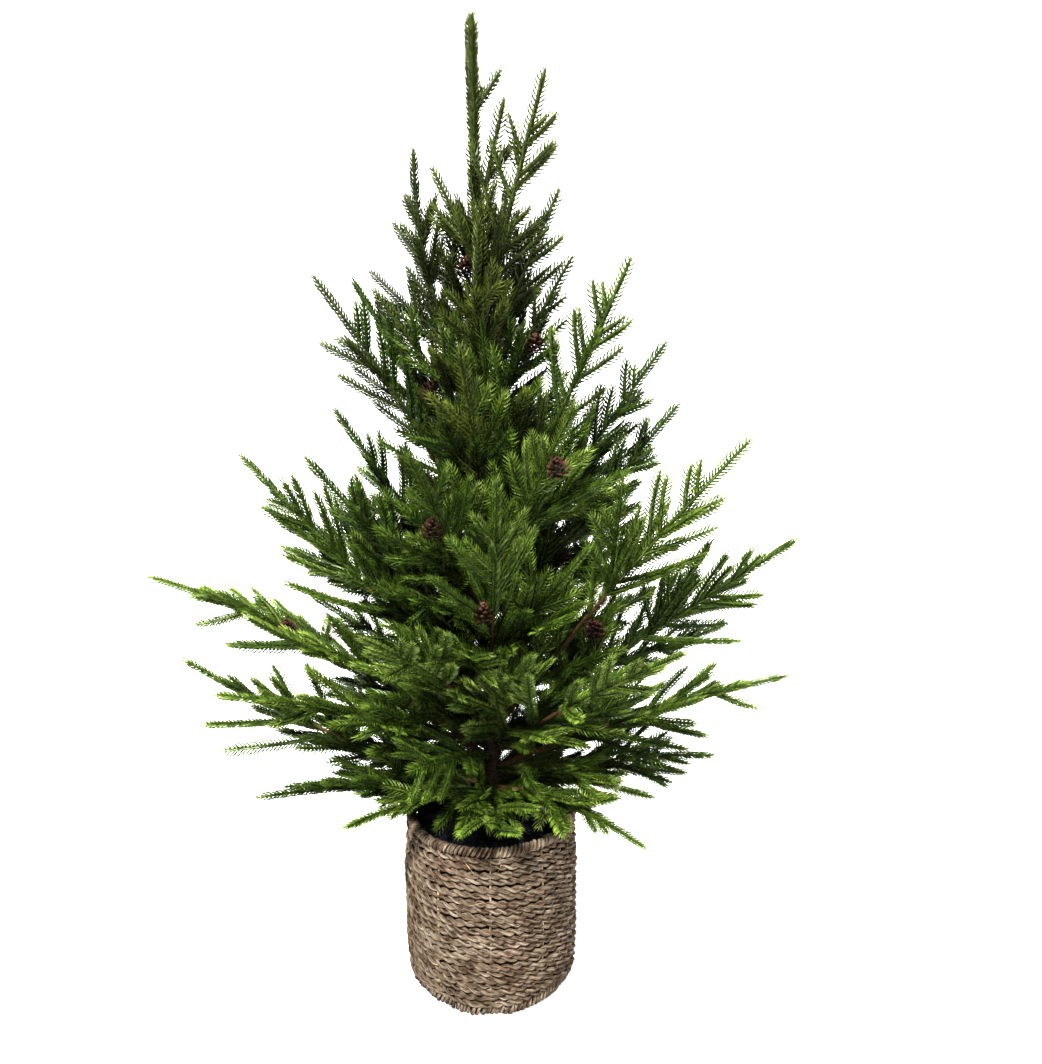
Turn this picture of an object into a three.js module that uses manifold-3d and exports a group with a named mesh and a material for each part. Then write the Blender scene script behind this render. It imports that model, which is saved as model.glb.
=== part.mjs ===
// An artificial Norfolk Island pine standing in a woven seagrass basket.
// Millimetres, +Z up. The origin is the centre of the basket's flat underside.
import * as THREE from 'three';
import { mergeVertices } from 'three/addons/utils/BufferGeometryUtils.js';
import loadManifold from 'manifold-3d';

const wasm = await loadManifold();
wasm.setup();

// ---- Driving dimensions -------------------------------------------------------------

const overallHeight = 914;
const clearGap = 0.3; // between pieces that meet

const basket = {
	height: 171,
	footRadius: 74,
	cornerRadius: 84,
	cornerHeight: 12,
	bellyRadius: 88,
	bellyLow: 45,
	bellyHigh: 120,
	rimRadius: 84,
	rimBand: 12,
	lip: 3,
	wall: 7,
	floor: 8,
	sides: 20,
};

const filling = { drop: 13, floorRadius: 66 };

const trunk = {
	topHeight: 806,
	footRadius: 7,
	topRadius: 2.4,
	flare: 5,
	flareReach: 20,
	lean: -12,
	sides: 9,
	steps: 10,
};

const limb = { rootRadius: 4.6, tipRadius: 3.2, sides: 6, steps: 3 };
const stem = { rootRadius: 3.4, tipRadius: 2, sides: 3, steps: 3, overlap: 14 };

// A spray is one flat blade: a midrib with toothed side twigs, cupped and bent along its path.
const spray = {
	thickness: 3,
	ribHalfWidth: 1.9,
	rootSunk: 2,
	firstTwig: 20,
	twigPitch: 24,
	twigAngle: 40,
	angleSpread: 6,
	longestTwig: 84,
	shortestTwig: 26,
	twigShare: 0.62, // of the midrib that is left beyond the twig
	shortfall: 0.15,
	lengthSpread: 0.25,
	tipTwig: 58,
	tipSetback: 12,
	cup: 0.2,
};

const tooth = { pitch: 42, halfWidth: 9, notchHalfWidth: 4.4, lean: 0.82, lastShare: 0.8, narrowing: 0.45 };

// A fork is a spray that leaves a bough's stem.
const fork = {
	first: 24,
	pitch: 54,
	angle: 37,
	angleSpread: 10,
	rollSpread: 40,
	share: 0.68, // of the bough that is left beyond the fork
	shortfall: 0.15,
	lengthSpread: 0.2,
	longest: 180,
	shortest: 60,
	lift: 0.1,
};

// What a twig or a fork tries where its full length isn't free.
const shorterTries = [1, 0.8, 0.62, 0.48];

const cone = { length: 21, radius: 9, sides: 6, stand: 8 };

// Boughs by tier: [foot height, turn, rise at the foot, rise at the tip, length, roll].
// A turn of 0 points to +X and 90 to +Y. A roll of 0 lays the spray flat, 90 stands it on edge.
// bare is the share of a bough that is a bare limb, and wooded the share where its stem ends.
// size scales its side twigs.
const tiers = {
	skirt: {
		bare: 0.16,
		wooded: 0.62,
		size: 1,
		boughs: [
			[192, 184, 16, 34, 330, 35],
			[218, 176, 40, 16, 400, 12],
			[196, 14, 8, -8, 250, 20],
			[208, 1, 24, 12, 316, -15],
			[184, 52, 22, 6, 262, 0],
			[193, 98, 26, 8, 270, 10],
			[205, 144, 16, 4, 268, -10],
		],
	},
	heart: {
		bare: 0,
		wooded: 0.5,
		size: 1,
		boughs: [
			[184, 260, 30, -10, 136, 0],
			[190, 316, 18, -12, 196, 15],
			[186, 222, 18, -4, 170, 10],
			[180, 197, 18, -2, 230, 25],
			[232, 201, 24, 14, 272, 10],
			[236, 284, 44, 38, 215, 5],
			[262, 246, 38, 28, 255, 12],
			[226, 312, 38, 30, 280, -15],
		],
	},
	lower: {
		bare: 0.16,
		wooded: 0.58,
		size: 1,
		boughs: [
			[250, 175, 51, 45, 370, 60],
			[238, 5, 35, 31, 370, -50],
			[246, 343, 54, 48, 380, -58],
			[256, 48, 46, 38, 335, 20],
			[277, 92, 47, 41, 325, 10],
			[263, 134, 43, 37, 338, -20],
		],
	},
	middle: {
		bare: 0,
		wooded: 0.52,
		size: 1,
		boughs: [
			[300, 198, 56, 50, 282, 48],
			[280, 274, 50, 58, 290, 20],
			[330, 176, 62, 54, 282, 58],
			[336, 12, 54, 48, 308, -55],
			[380, 3, 58, 54, 304, -50],
			[350, 248, 54, 46, 236, 25],
			[396, 302, 52, 50, 225, -20],
			[360, 112, 54, 46, 275, 30],
			[372, 60, 56, 48, 270, -25],
		],
	},
	upper: {
		bare: 0,
		wooded: 0.42,
		size: 0.9,
		boughs: [
			[426, 346, 62, 66, 303, -62],
			[436, 186, 62, 54, 296, 60],
			[476, 160, 60, 54, 262, 40],
			[446, 262, 57, 53, 205, 20],
			[512, 202, 62, 52, 190, 35],
			[492, 84, 60, 54, 235, 15],
			[536, 350, 70, 58, 188, -40],
		],
	},
	top: {
		bare: 0,
		wooded: 0.36,
		size: 0.78,
		boughs: [
			[560, 170, 60, 90, 262, 60],
			[600, 0, 69, 65, 180, -60],
			[636, 100, 68, 64, 170, 20],
			[644, 340, 75, 73, 224, -55],
			[690, 200, 68, 60, 100, 40],
			[730, 320, 75, 71, 110, -30],
		],
	},
};

// Cones: [tier, bough counted from 0, share along the bough].
const conePlaces = [
	['skirt', 1, 0.6],
	['middle', 5, 0.65],
	['upper', 4, 0.5],
	['top', 4, 0.2],
	['upper', 6, 0.5],
	['middle', 6, 0.75],
	['middle', 1, 0.5],
	['lower', 2, 0.4],
	['middle', 3, 0.35],
];

// ---- Materials ----------------------------------------------------------------------

function finish(color, roughness) {
	return () => new THREE.MeshStandardMaterial({ color, roughness, metalness: 0 });
}

const seagrass = finish(0x9a8468, 0.9);
const blackFelt = finish(0x121318, 0.95);
const bark = finish(0x4a3424, 0.85);
const needleGreens = {
	skirt: finish(0x5f8a34, 0.7),
	heart: finish(0x679338, 0.7),
	lower: finish(0x567f31, 0.7),
	middle: finish(0x4a732d, 0.7),
	upper: finish(0x416a2b, 0.7),
	top: finish(0x3a6029, 0.7),
};

// ---- Solids -------------------------------------------------------------------------

function solidOf(geometry) {
	const bare = geometry.clone();
	bare.deleteAttribute('normal');
	bare.deleteAttribute('uv');
	const merged = mergeVertices(bare, 1e-4);
	return new wasm.Manifold(new wasm.Mesh({
		numProp: 3,
		vertProperties: new Float32Array(merged.attributes.position.array),
		triVerts: new Uint32Array(merged.index.array),
	}));
}

function geometryOf(solid) {
	const mesh = solid.getMesh();
	const geometry = new THREE.BufferGeometry();
	geometry.setAttribute('position', new THREE.BufferAttribute(mesh.vertProperties, 3));
	geometry.setIndex(new THREE.BufferAttribute(mesh.triVerts, 1));
	geometry.computeVertexNormals();
	return geometry;
}

function fused(solids) {
	return solids.reduce((whole, solid) => whole.add(solid));
}

// A closed tube of flat sides round a curve. radiusAt gives its radius at each share of the curve.
function taperedTube(curve, radiusAt, sides, steps, side) {
	const positions = [];
	for (let step = 0; step <= steps; step++) {
		const share = step / steps;
		const { point, across, out } = frameAlong(curve, share * curve.span, side);
		for (let corner = 0; corner < sides; corner++) {
			const angle = (corner / sides) * 2 * Math.PI;
			const ring = point.clone();
			ring.addScaledVector(across, radiusAt(share) * Math.cos(angle));
			ring.addScaledVector(out, radiusAt(share) * Math.sin(angle));
			positions.push(...ring.toArray());
		}
	}
	const faces = [];
	for (let corner = 1; corner < sides - 1; corner++) {
		const last = steps * sides;
		faces.push(0, corner + 1, corner);
		faces.push(last, last + corner, last + corner + 1);
	}
	for (let step = 0; step < steps; step++) {
		for (let corner = 0; corner < sides; corner++) {
			const low = step * sides + corner;
			const lowNext = step * sides + ((corner + 1) % sides);
			faces.push(low, lowNext, lowNext + sides);
			faces.push(low, lowNext + sides, low + sides);
		}
	}
	const geometry = new THREE.BufferGeometry();
	geometry.setAttribute('position', new THREE.Float32BufferAttribute(positions, 3));
	geometry.setIndex(faces);
	return solidOf(geometry);
}

// ---- Curves -------------------------------------------------------------------------

// A bent line whose ends point along two directions, with its length kept as span.
function bentLine(start, direction, endDirection, span) {
	const middle = start.clone().addScaledVector(direction, span / 2);
	const end = middle.clone().addScaledVector(endDirection, span / 2);
	const curve = new THREE.QuadraticBezierCurve3(start, middle, end);
	curve.span = span;
	return curve;
}

function portion(curve, from, to) {
	const early = curve.v0.clone().lerp(curve.v1, from);
	const late = curve.v1.clone().lerp(curve.v2, from);
	const middle = early.lerp(late, to);
	const piece = new THREE.QuadraticBezierCurve3(curve.getPoint(from), middle, curve.getPoint(to));
	piece.span = curve.span * (to - from);
	return piece;
}

// The point and axes at a distance along a curve. Past its end the curve goes straight on.
function frameAlong(curve, distance, side) {
	const share = THREE.MathUtils.clamp(distance / curve.span, 0, 1);
	const along = curve.getTangent(share);
	const across = side.clone().addScaledVector(along, -side.dot(along)).normalize();
	const out = new THREE.Vector3().crossVectors(along, across);
	const point = curve.getPoint(share).addScaledVector(along, distance - share * curve.span);
	return { point, along, across, out };
}

function direction(turn, rise) {
	const up = THREE.MathUtils.degToRad(rise);
	const round = THREE.MathUtils.degToRad(turn);
	return new THREE.Vector3(Math.cos(up) * Math.cos(round), Math.cos(up) * Math.sin(round), Math.sin(up));
}

// The way a bough's sprays spread: level across the bough, then rolled about it.
function rolledSide(along, roll) {
	const level = new THREE.Vector3(-along.y, along.x, 0).normalize();
	return level.applyAxisAngle(along, THREE.MathUtils.degToRad(roll));
}

// One direction turned towards another, square to it.
function turned(along, across, angle) {
	return along.clone().multiplyScalar(Math.cos(angle)).addScaledVector(across, Math.sin(angle));
}

function seededRandom(seed) {
	let state = seed >>> 0;
	return () => {
		state = (Math.imul(state, 1664525) + 1013904223) >>> 0;
		return state / 4294967296;
	};
}

// ---- Trunk --------------------------------------------------------------------------

const fillingTop = basket.height - filling.drop;
const trunkFoot = fillingTop + clearGap;

function trunkPoint(height) {
	const share = (height - trunkFoot) / (trunk.topHeight - trunkFoot);
	return new THREE.Vector3(trunk.lean * share * share, 0, height);
}

function trunkRadius(share) {
	const rise = share * (trunk.topHeight - trunkFoot);
	const taper = THREE.MathUtils.lerp(trunk.footRadius, trunk.topRadius, share);
	return taper + trunk.flare * Math.exp(-rise / trunk.flareReach);
}

const trunkLine = new THREE.QuadraticBezierCurve3(
	trunkPoint(trunkFoot),
	new THREE.Vector3(0, 0, (trunkFoot + trunk.topHeight) / 2),
	trunkPoint(trunk.topHeight),
);
trunkLine.span = trunk.topHeight - trunkFoot;

function trunkSolid(grown) {
	const radiusAt = (share) => trunkRadius(share) + grown;
	return taperedTube(trunkLine, radiusAt, trunk.sides, trunk.steps, new THREE.Vector3(1, 0, 0));
}

// ---- Space keeping ------------------------------------------------------------------

// Each piece claims its space as lines with a radius. A flat twig is three lines side by side.
const claims = [];
const strip = { spacing: 0.62, radius: 0.42 }; // as shares of the twig's half width

function claim(lines, radius, owner) {
	for (const line of lines) claims.push({ line, radius, owner });
}

function claimCurve(curve, radiusAt, owner, pieces) {
	for (let piece = 0; piece < pieces; piece++) {
		const line = new THREE.Line3(curve.getPoint(piece / pieces), curve.getPoint((piece + 1) / pieces));
		claim([line], radiusAt(piece / pieces), owner);
	}
}

function isFree(lines, radius, owner) {
	return claims.every((other) => {
		if (other.owner === owner) return true;
		const reach = radius + other.radius + clearGap;
		return lines.every((line) => line.distanceSqToLine3(other.line) > reach * reach);
	});
}

function strips(start, end, across, halfWidth) {
	return [-1, 0, 1].map((hand) => {
		const shift = across.clone().multiplyScalar(hand * strip.spacing * halfWidth);
		return new THREE.Line3(start.clone().add(shift), end.clone().add(shift));
	});
}

// ---- Sprays -------------------------------------------------------------------------

// A number that falls short of a length by a share, and is then spread upwards at random.
function varied(length, { shortfall, lengthSpread }, random) {
	return length * (1 - shortfall + lengthSpread * random());
}

function variedAngle({ angle, angleSpread }, random) {
	return THREE.MathUtils.degToRad(angle + angleSpread * (random() - 0.5));
}

// One spray's side twigs: where each leaves the midrib, its hand, angle and length.
function spreadTwigs(curve, side, { name: owner, size }, random) {
	const twigs = [];
	const wide = tooth.halfWidth * size;
	let hand = random() < 0.5 ? 1 : -1;
	for (let foot = spray.firstTwig; foot < curve.span - spray.tipTwig; foot += spray.twigPitch * size) {
		const fullLength = Math.min(spray.longestTwig * size, spray.twigShare * (curve.span - foot));
		const grown = varied(fullLength, spray, random);
		const angle = variedAngle({ angle: spray.twigAngle, angleSpread: spray.angleSpread }, random);
		const { point, along, across, out } = frameAlong(curve, foot, side);
		const heading = turned(along, across, hand * angle);
		heading.addScaledVector(out, spray.cup * Math.sin(angle)).normalize();
		const twigAcross = new THREE.Vector3().crossVectors(out, heading).normalize();
		const start = point.clone().addScaledVector(heading, wide);
		const spaceOf = (reach) => strips(start, point.clone().addScaledVector(heading, reach), twigAcross, wide);
		const length = shorterTries.map((share) => share * grown).find((reach) => {
			return reach > spray.shortestTwig * size && isFree(spaceOf(reach), strip.radius * wide, owner);
		});
		if (length) {
			claim(spaceOf(length), strip.radius * wide, owner);
			twigs.push({ foot, hand, angle, length });
		}
		hand = -hand;
	}
	return twigs;
}

// The toothed edge of a twig from its root to just before its tip, as [along, half width] pairs.
function toothedEdge(root, length, size) {
	const teeth = Math.max(1, Math.round(length / tooth.pitch));
	const pitch = (length - root) / teeth;
	const edge = [];
	for (let number = 0; number < teeth; number++) {
		const scale = size * (1 - tooth.narrowing * (number / teeth));
		const share = number === teeth - 1 ? tooth.lastShare : 1;
		if (number > 0) edge.push([root + number * pitch, tooth.notchHalfWidth * scale]);
		edge.push([root + (number + tooth.lean) * pitch, tooth.halfWidth * scale * share]);
	}
	return edge;
}

// The outline of one side twig, walked from the midrib's foot side, out to its tip and back.
function twigOutline({ foot, hand, angle, length }, size) {
	const rib = spray.ribHalfWidth;
	const notch = tooth.notchHalfWidth * size;
	const lowRoot = (rib - notch * Math.cos(angle)) / Math.sin(angle);
	const highRoot = (rib + notch * Math.cos(angle)) / Math.sin(angle);
	const edge = toothedEdge(highRoot, length, size);
	const low = [[lowRoot, notch], ...edge].map(([along, wide]) => [along, -wide]);
	const high = [[highRoot, notch], ...edge].reverse();
	return [...low, [length, 0], ...high].map(([along, wide]) => {
		const x = foot + along * Math.cos(angle) + wide * Math.sin(angle);
		const y = along * Math.sin(angle) - wide * Math.cos(angle);
		return new THREE.Vector2(x, hand * y);
	});
}

function sprayOutline(twigs, span, size) {
	const edgeOf = (hand) => {
		return twigs.filter((twig) => twig.hand === hand).flatMap((twig) => twigOutline(twig, size));
	};
	const lastFoot = Math.max(spray.firstTwig, ...twigs.map((twig) => twig.foot));
	const tipRoot = Math.min(lastFoot + spray.tipSetback, span - spray.tipTwig / 2);
	const tipEdge = toothedEdge(0, span - tipRoot, size);
	const tip = tipEdge.map(([along, wide]) => new THREE.Vector2(tipRoot + along, wide));
	return [
		new THREE.Vector2(-spray.rootSunk, 0),
		...edgeOf(1),
		...tip,
		new THREE.Vector2(span, 0),
		...tip.map(({ x, y }) => new THREE.Vector2(x, -y)).reverse(),
		...edgeOf(-1).reverse(),
	];
}

function spraySolid(curve, side, bough, random) {
	const twigs = spreadTwigs(curve, side, bough, random);
	const outline = new THREE.Shape(sprayOutline(twigs, curve.span, bough.size));
	const blade = new THREE.ExtrudeGeometry(outline, { depth: spray.thickness, steps: 1, bevelEnabled: false });
	const places = blade.attributes.position;
	for (let corner = 0; corner < places.count; corner++) {
		const across = places.getY(corner);
		const frame = frameAlong(curve, places.getX(corner), side);
		const lift = places.getZ(corner) - spray.thickness / 2 + spray.cup * Math.abs(across);
		frame.point.addScaledVector(frame.across, across).addScaledVector(frame.out, lift);
		places.setXYZ(corner, ...frame.point.toArray());
	}
	return solidOf(blade);
}

// A cone stands on its bough, with its stalk end sunk in the twig.
function coneCentre(curve, share) {
	return curve.getPoint(share).add(new THREE.Vector3(0, 0, cone.stand));
}

function coneSolid(centre) {
	const half = cone.length / 2;
	const profile = [[0, -1], [0.72, -0.7], [1, -0.1], [0.6, 0.6], [0, 1]];
	const points = profile.map(([wide, along]) => new THREE.Vector2(wide * cone.radius, along * half));
	const geometry = new THREE.LatheGeometry(points, cone.sides);
	geometry.rotateX(Math.PI / 2);
	geometry.translate(...centre.toArray());
	return solidOf(geometry);
}

// ---- Boughs -------------------------------------------------------------------------

const boughs = [];
for (const [tier, { bare, wooded, size, boughs: rows }] of Object.entries(tiers)) {
	rows.forEach(([height, turn, riseAtFoot, riseAtTip, length, roll], index) => {
		const foot = trunkPoint(height);
		const curve = bentLine(foot, direction(turn, riseAtFoot), direction(turn, riseAtTip), length);
		const side = rolledSide(curve.getTangent(0.5), roll);
		const places = conePlaces.filter(([owner, bough]) => owner === tier && bough === index);
		const cones = places.map(([, , share]) => coneCentre(curve, share));
		boughs.push({ tier, name: `${tier}_${index + 1}`, bare, wooded, size, curve, side, cones });
	});
}

function limbRadius(share) {
	return THREE.MathUtils.lerp(limb.rootRadius, limb.tipRadius, share);
}

function stemRadius(size) {
	return (share) => size * THREE.MathUtils.lerp(stem.rootRadius, stem.tipRadius, share);
}

boughs.push({
	tier: 'top',
	name: 'leader',
	bare: 0,
	wooded: 0.2,
	size: 0.6,
	curve: bentLine(
		trunkPoint(trunk.topHeight + clearGap),
		direction(180, 88),
		direction(180, 90),
		overallHeight - trunk.topHeight - clearGap,
	),
	side: new THREE.Vector3(1, 0, 0),
	cones: [],
});

claimCurve(trunkLine, trunkRadius, 'trunk', trunk.steps);
for (const bough of boughs) {
	bough.stem = portion(bough.curve, bough.bare, bough.wooded);
	claimCurve(bough.stem, stemRadius(bough.size), bough.name, stem.steps);
	claimCurve(portion(bough.curve, bough.wooded, 1), () => tooth.notchHalfWidth, bough.name, stem.steps);
	for (const centre of bough.cones) {
		const reach = new THREE.Vector3(0, 0, cone.length / 2 - cone.radius);
		claim([new THREE.Line3(centre.clone().sub(reach), centre.clone().add(reach))], cone.radius, bough.name);
	}
	if (bough.bare > 0) {
		bough.limb = portion(bough.curve, 0, bough.bare - clearGap / bough.curve.span);
		claimCurve(bough.limb, limbRadius, `limb ${bough.name}`, stem.steps);
	}
}

// A fork's path and side, or nothing where no length of it is free.
function growFork(bough, foot, hand, random) {
	const { curve, side, name } = bough;
	const { point, along, across } = frameAlong(curve, foot, side);
	const angle = hand * variedAngle(fork, random);
	const heading = turned(along, across, angle);
	const lifted = heading.clone().add(new THREE.Vector3(0, 0, fork.lift)).normalize();
	const roll = THREE.MathUtils.degToRad(fork.rollSpread * (random() - 0.5));
	const forkSide = turned(across, along, -angle).applyAxisAngle(heading, roll);
	const grown = varied(Math.min(fork.longest, fork.share * (curve.span - foot)), fork, random);
	const start = point.clone().addScaledVector(heading, 2 * tooth.halfWidth);
	const length = shorterTries.map((share) => share * grown).find((span) => {
		const { v2: end } = bentLine(point, heading, lifted, span);
		return span > fork.shortest && isFree([new THREE.Line3(start, end)], tooth.notchHalfWidth, name);
	});
	return length && { curve: bentLine(point, heading, lifted, length), side: forkSide };
}

function massSolid(bough, seed, cutter) {
	const random = seededRandom(seed);
	const { curve, side, name, size } = bough;
	const solids = [taperedTube(bough.stem, stemRadius(size), stem.sides, stem.steps, side)];
	const tipStart = bough.wooded - stem.overlap / curve.span;
	solids.push(spraySolid(portion(curve, tipStart, 1), side, bough, random));
	let hand = random() < 0.5 ? 1 : -1;
	for (let foot = bough.bare * curve.span + fork.first; foot < tipStart * curve.span; foot += fork.pitch) {
		const forked = growFork(bough, foot, hand, random);
		if (forked) {
			claimCurve(forked.curve, () => tooth.notchHalfWidth, name, stem.steps);
			solids.push(spraySolid(forked.curve, forked.side, bough, random));
		}
		hand = -hand;
	}
	for (const centre of bough.cones) solids.push(coneSolid(centre));
	return bough.bare > 0 ? fused(solids) : fused(solids).subtract(cutter);
}

// ---- The object ---------------------------------------------------------------------

const tree = new THREE.Group();

function addPiece(name, geometry, material) {
	const mesh = new THREE.Mesh(geometry, material());
	mesh.name = name;
	tree.add(mesh);
}

function lathed(profile, sides) {
	const geometry = new THREE.LatheGeometry(profile.map(([r, z]) => new THREE.Vector2(r, z)), sides);
	geometry.rotateX(Math.PI / 2);
	return geometryOf(solidOf(geometry));
}

function basketGeometry() {
	const { height, footRadius, cornerRadius, cornerHeight, bellyRadius, bellyLow, bellyHigh } = basket;
	const { rimRadius, rimBand, lip, wall, floor, sides } = basket;
	return lathed([
		[0, 0],
		[footRadius, 0],
		[cornerRadius - lip, lip],
		[cornerRadius, cornerHeight],
		[bellyRadius, bellyLow],
		[bellyRadius, bellyHigh],
		[rimRadius + lip / 2, height - rimBand],
		[rimRadius, height - lip],
		[rimRadius - wall / 2, height],
		[rimRadius - wall, height - lip],
		[rimRadius - wall, height - rimBand],
		[bellyRadius - wall, bellyHigh],
		[bellyRadius - wall, bellyLow],
		[cornerRadius - wall, cornerHeight],
		[filling.floorRadius, floor],
		[0, floor],
	], sides);
}

function fillingGeometry() {
	const { cornerRadius, cornerHeight, bellyRadius, bellyLow, bellyHigh, rimRadius, rimBand } = basket;
	const inset = basket.wall + 2 * clearGap;
	const bottom = basket.floor + clearGap;
	return lathed([
		[0, bottom],
		[filling.floorRadius - clearGap, bottom],
		[cornerRadius - inset, cornerHeight + clearGap],
		[bellyRadius - inset, bellyLow + clearGap],
		[bellyRadius - inset, bellyHigh - clearGap],
		[rimRadius - inset, basket.height - rimBand - clearGap],
		[rimRadius - inset, fillingTop],
		[0, fillingTop],
	], basket.sides);
}

addPiece('basket', basketGeometry(), seagrass);
addPiece('filling', fillingGeometry(), blackFelt);
addPiece('trunk', geometryOf(trunkSolid(0)), bark);

// Grown a little more than the gap, because a flat-sided limb's edges stand proud of its faces.
const trunkCutter = trunkSolid(1.2 * clearGap);
for (const bough of boughs) {
	if (bough.limb) {
		const solid = taperedTube(bough.limb, limbRadius, limb.sides, limb.steps, bough.side);
		addPiece(`bough_${bough.name}`, geometryOf(solid.subtract(trunkCutter)), bark);
	}
}

boughs.forEach((bough, index) => {
	const mass = massSolid(bough, index + 1, trunkCutter);
	addPiece(`spray_${bough.name}`, geometryOf(mass), needleGreens[bough.tier]);
});

export default tree;
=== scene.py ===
import math
import random

import bpy
import numpy as np
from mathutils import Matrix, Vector


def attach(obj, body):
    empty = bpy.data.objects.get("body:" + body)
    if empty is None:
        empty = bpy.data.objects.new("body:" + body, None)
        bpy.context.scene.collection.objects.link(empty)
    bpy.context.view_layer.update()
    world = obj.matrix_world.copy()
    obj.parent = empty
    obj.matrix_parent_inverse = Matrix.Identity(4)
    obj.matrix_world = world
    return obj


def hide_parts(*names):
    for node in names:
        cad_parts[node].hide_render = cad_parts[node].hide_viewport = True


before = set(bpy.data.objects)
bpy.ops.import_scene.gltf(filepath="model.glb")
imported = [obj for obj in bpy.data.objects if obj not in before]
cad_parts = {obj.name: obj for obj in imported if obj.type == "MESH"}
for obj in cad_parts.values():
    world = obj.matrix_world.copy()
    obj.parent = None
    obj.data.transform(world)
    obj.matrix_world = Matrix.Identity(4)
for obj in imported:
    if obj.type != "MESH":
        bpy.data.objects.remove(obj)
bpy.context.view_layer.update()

mm = 0.001

# Growth is in millimetres until a mesh is made.

basket = {
    "height": 171,
    "footRadius": 74,
    "cornerRadius": 84,
    "cornerHeight": 12,
    "bellyRadius": 88,
    "bellyLow": 45,
    "bellyHigh": 120,
    "rimRadius": 84,
    "fillTop": 158,
}

trunk = {
    "foot": 158.3,
    "top": 806,
    "footRadius": 7,
    "topRadius": 2.4,
    "flare": 5,
    "flareReach": 20,
    "lean": -12,
}

treeTop = 914
clearGap = 0.3

spray = {
    "firstTwig": 20,
    "twigPitch": 24,
    "twigAngle": 40,
    "angleSpread": 6,
    "longestTwig": 84,
    "shortestTwig": 26,
    "twigShare": 0.62,
    "shortfall": 0.15,
    "lengthSpread": 0.25,
    "tipTwig": 58,
    "cup": 0.2,
    "halfWidth": 9,
    "notchHalfWidth": 4.4,
}

fork = {
    "first": 24,
    "pitch": 54,
    "angle": 37,
    "angleSpread": 10,
    "rollSpread": 40,
    "share": 0.68,
    "shortfall": 0.15,
    "lengthSpread": 0.2,
    "longest": 180,
    "shortest": 60,
    "lift": 0.1,
}

limb = {"rootRadius": 4.6, "tipRadius": 3.2}
stem = {"rootRadius": 3.4, "tipRadius": 2, "steps": 3, "overlap": 14}
strip = {"spacing": 0.62, "radius": 0.42}
cone = {"length": 21, "radius": 9, "stand": 8, "hang": 11}
shorterTries = [1, 0.8, 0.62, 0.48]

# Rows are [foot height, turn, rise at the foot, rise at the tip, length, roll].
tiers = {
    "skirt": {
        "bare": 0.16,
        "wooded": 0.62,
        "size": 1,
        "boughs": [
            [192, 184, 16, 34, 330, 35],
            [218, 176, 40, 16, 400, 12],
            [196, 14, 8, -8, 250, 20],
            [208, 1, 24, 12, 316, -15],
            [184, 52, 22, 6, 262, 0],
            [193, 98, 26, 8, 270, 10],
            [205, 144, 16, 4, 268, -10],
        ],
    },
    "heart": {
        "bare": 0,
        "wooded": 0.5,
        "size": 1,
        "boughs": [
            [184, 260, 30, -10, 136, 0],
            [190, 316, 18, -12, 196, 15],
            [186, 222, 18, -4, 170, 10],
            [180, 197, 18, -2, 230, 25],
            [232, 201, 24, 14, 272, 10],
            [236, 284, 44, 38, 215, 5],
            [262, 246, 38, 28, 255, 12],
            [226, 312, 38, 30, 280, -15],
        ],
    },
    "lower": {
        "bare": 0.16,
        "wooded": 0.58,
        "size": 1,
        "boughs": [
            [250, 175, 51, 45, 370, 60],
            [238, 5, 35, 31, 370, -50],
            [246, 343, 54, 48, 380, -58],
            [256, 48, 46, 38, 335, 20],
            [277, 92, 47, 41, 325, 10],
            [263, 134, 43, 37, 338, -20],
        ],
    },
    "middle": {
        "bare": 0,
        "wooded": 0.52,
        "size": 1,
        "boughs": [
            [300, 198, 56, 50, 282, 48],
            [280, 274, 50, 58, 290, 20],
            [330, 176, 62, 54, 282, 58],
            [336, 12, 54, 48, 308, -55],
            [380, 3, 58, 54, 304, -50],
            [350, 248, 54, 46, 236, 25],
            [396, 302, 52, 50, 225, -20],
            [360, 112, 54, 46, 275, 30],
            [372, 60, 56, 48, 270, -25],
        ],
    },
    "upper": {
        "bare": 0,
        "wooded": 0.42,
        "size": 0.9,
        "boughs": [
            [426, 346, 62, 66, 303, -62],
            [436, 186, 62, 54, 296, 60],
            [476, 160, 60, 54, 262, 40],
            [446, 262, 57, 53, 205, 20],
            [512, 202, 62, 52, 190, 35],
            [492, 84, 60, 54, 235, 15],
            [536, 350, 70, 58, 188, -40],
        ],
    },
    "top": {
        "bare": 0,
        "wooded": 0.36,
        "size": 0.78,
        "boughs": [
            [560, 170, 60, 90, 262, 60],
            [600, 0, 69, 65, 180, -60],
            [636, 100, 68, 64, 170, 20],
            [644, 340, 75, 73, 224, -55],
            [690, 200, 68, 60, 100, 40],
            [730, 320, 75, 71, 110, -30],
        ],
    },
}
leader = {"wooded": 0.2, "size": 0.6, "riseAtFoot": 88, "riseAtTip": 90, "turn": 180}

# Rows are [tier, number, share of the bough, turn of the side that the cone hangs on, its drop].
conePlaces = [
    ("skirt", 1, 0.6, 250, -9),
    ("middle", 5, 0.63, 205, 0),
    ("upper", 4, 0.45, 215, 0),
    ("top", 4, 0.1, 205, 2),
    ("upper", 6, 0.52, 330, -2),
    ("middle", 6, 0.72, 320, 4),
    ("middle", 1, 0.5, 225, 0),
    ("lower", 2, 0.42, 305, 8),
    ("middle", 3, 0.36, 310, 2),
]


def unit(vector):
    return vector / np.linalg.norm(vector)


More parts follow.
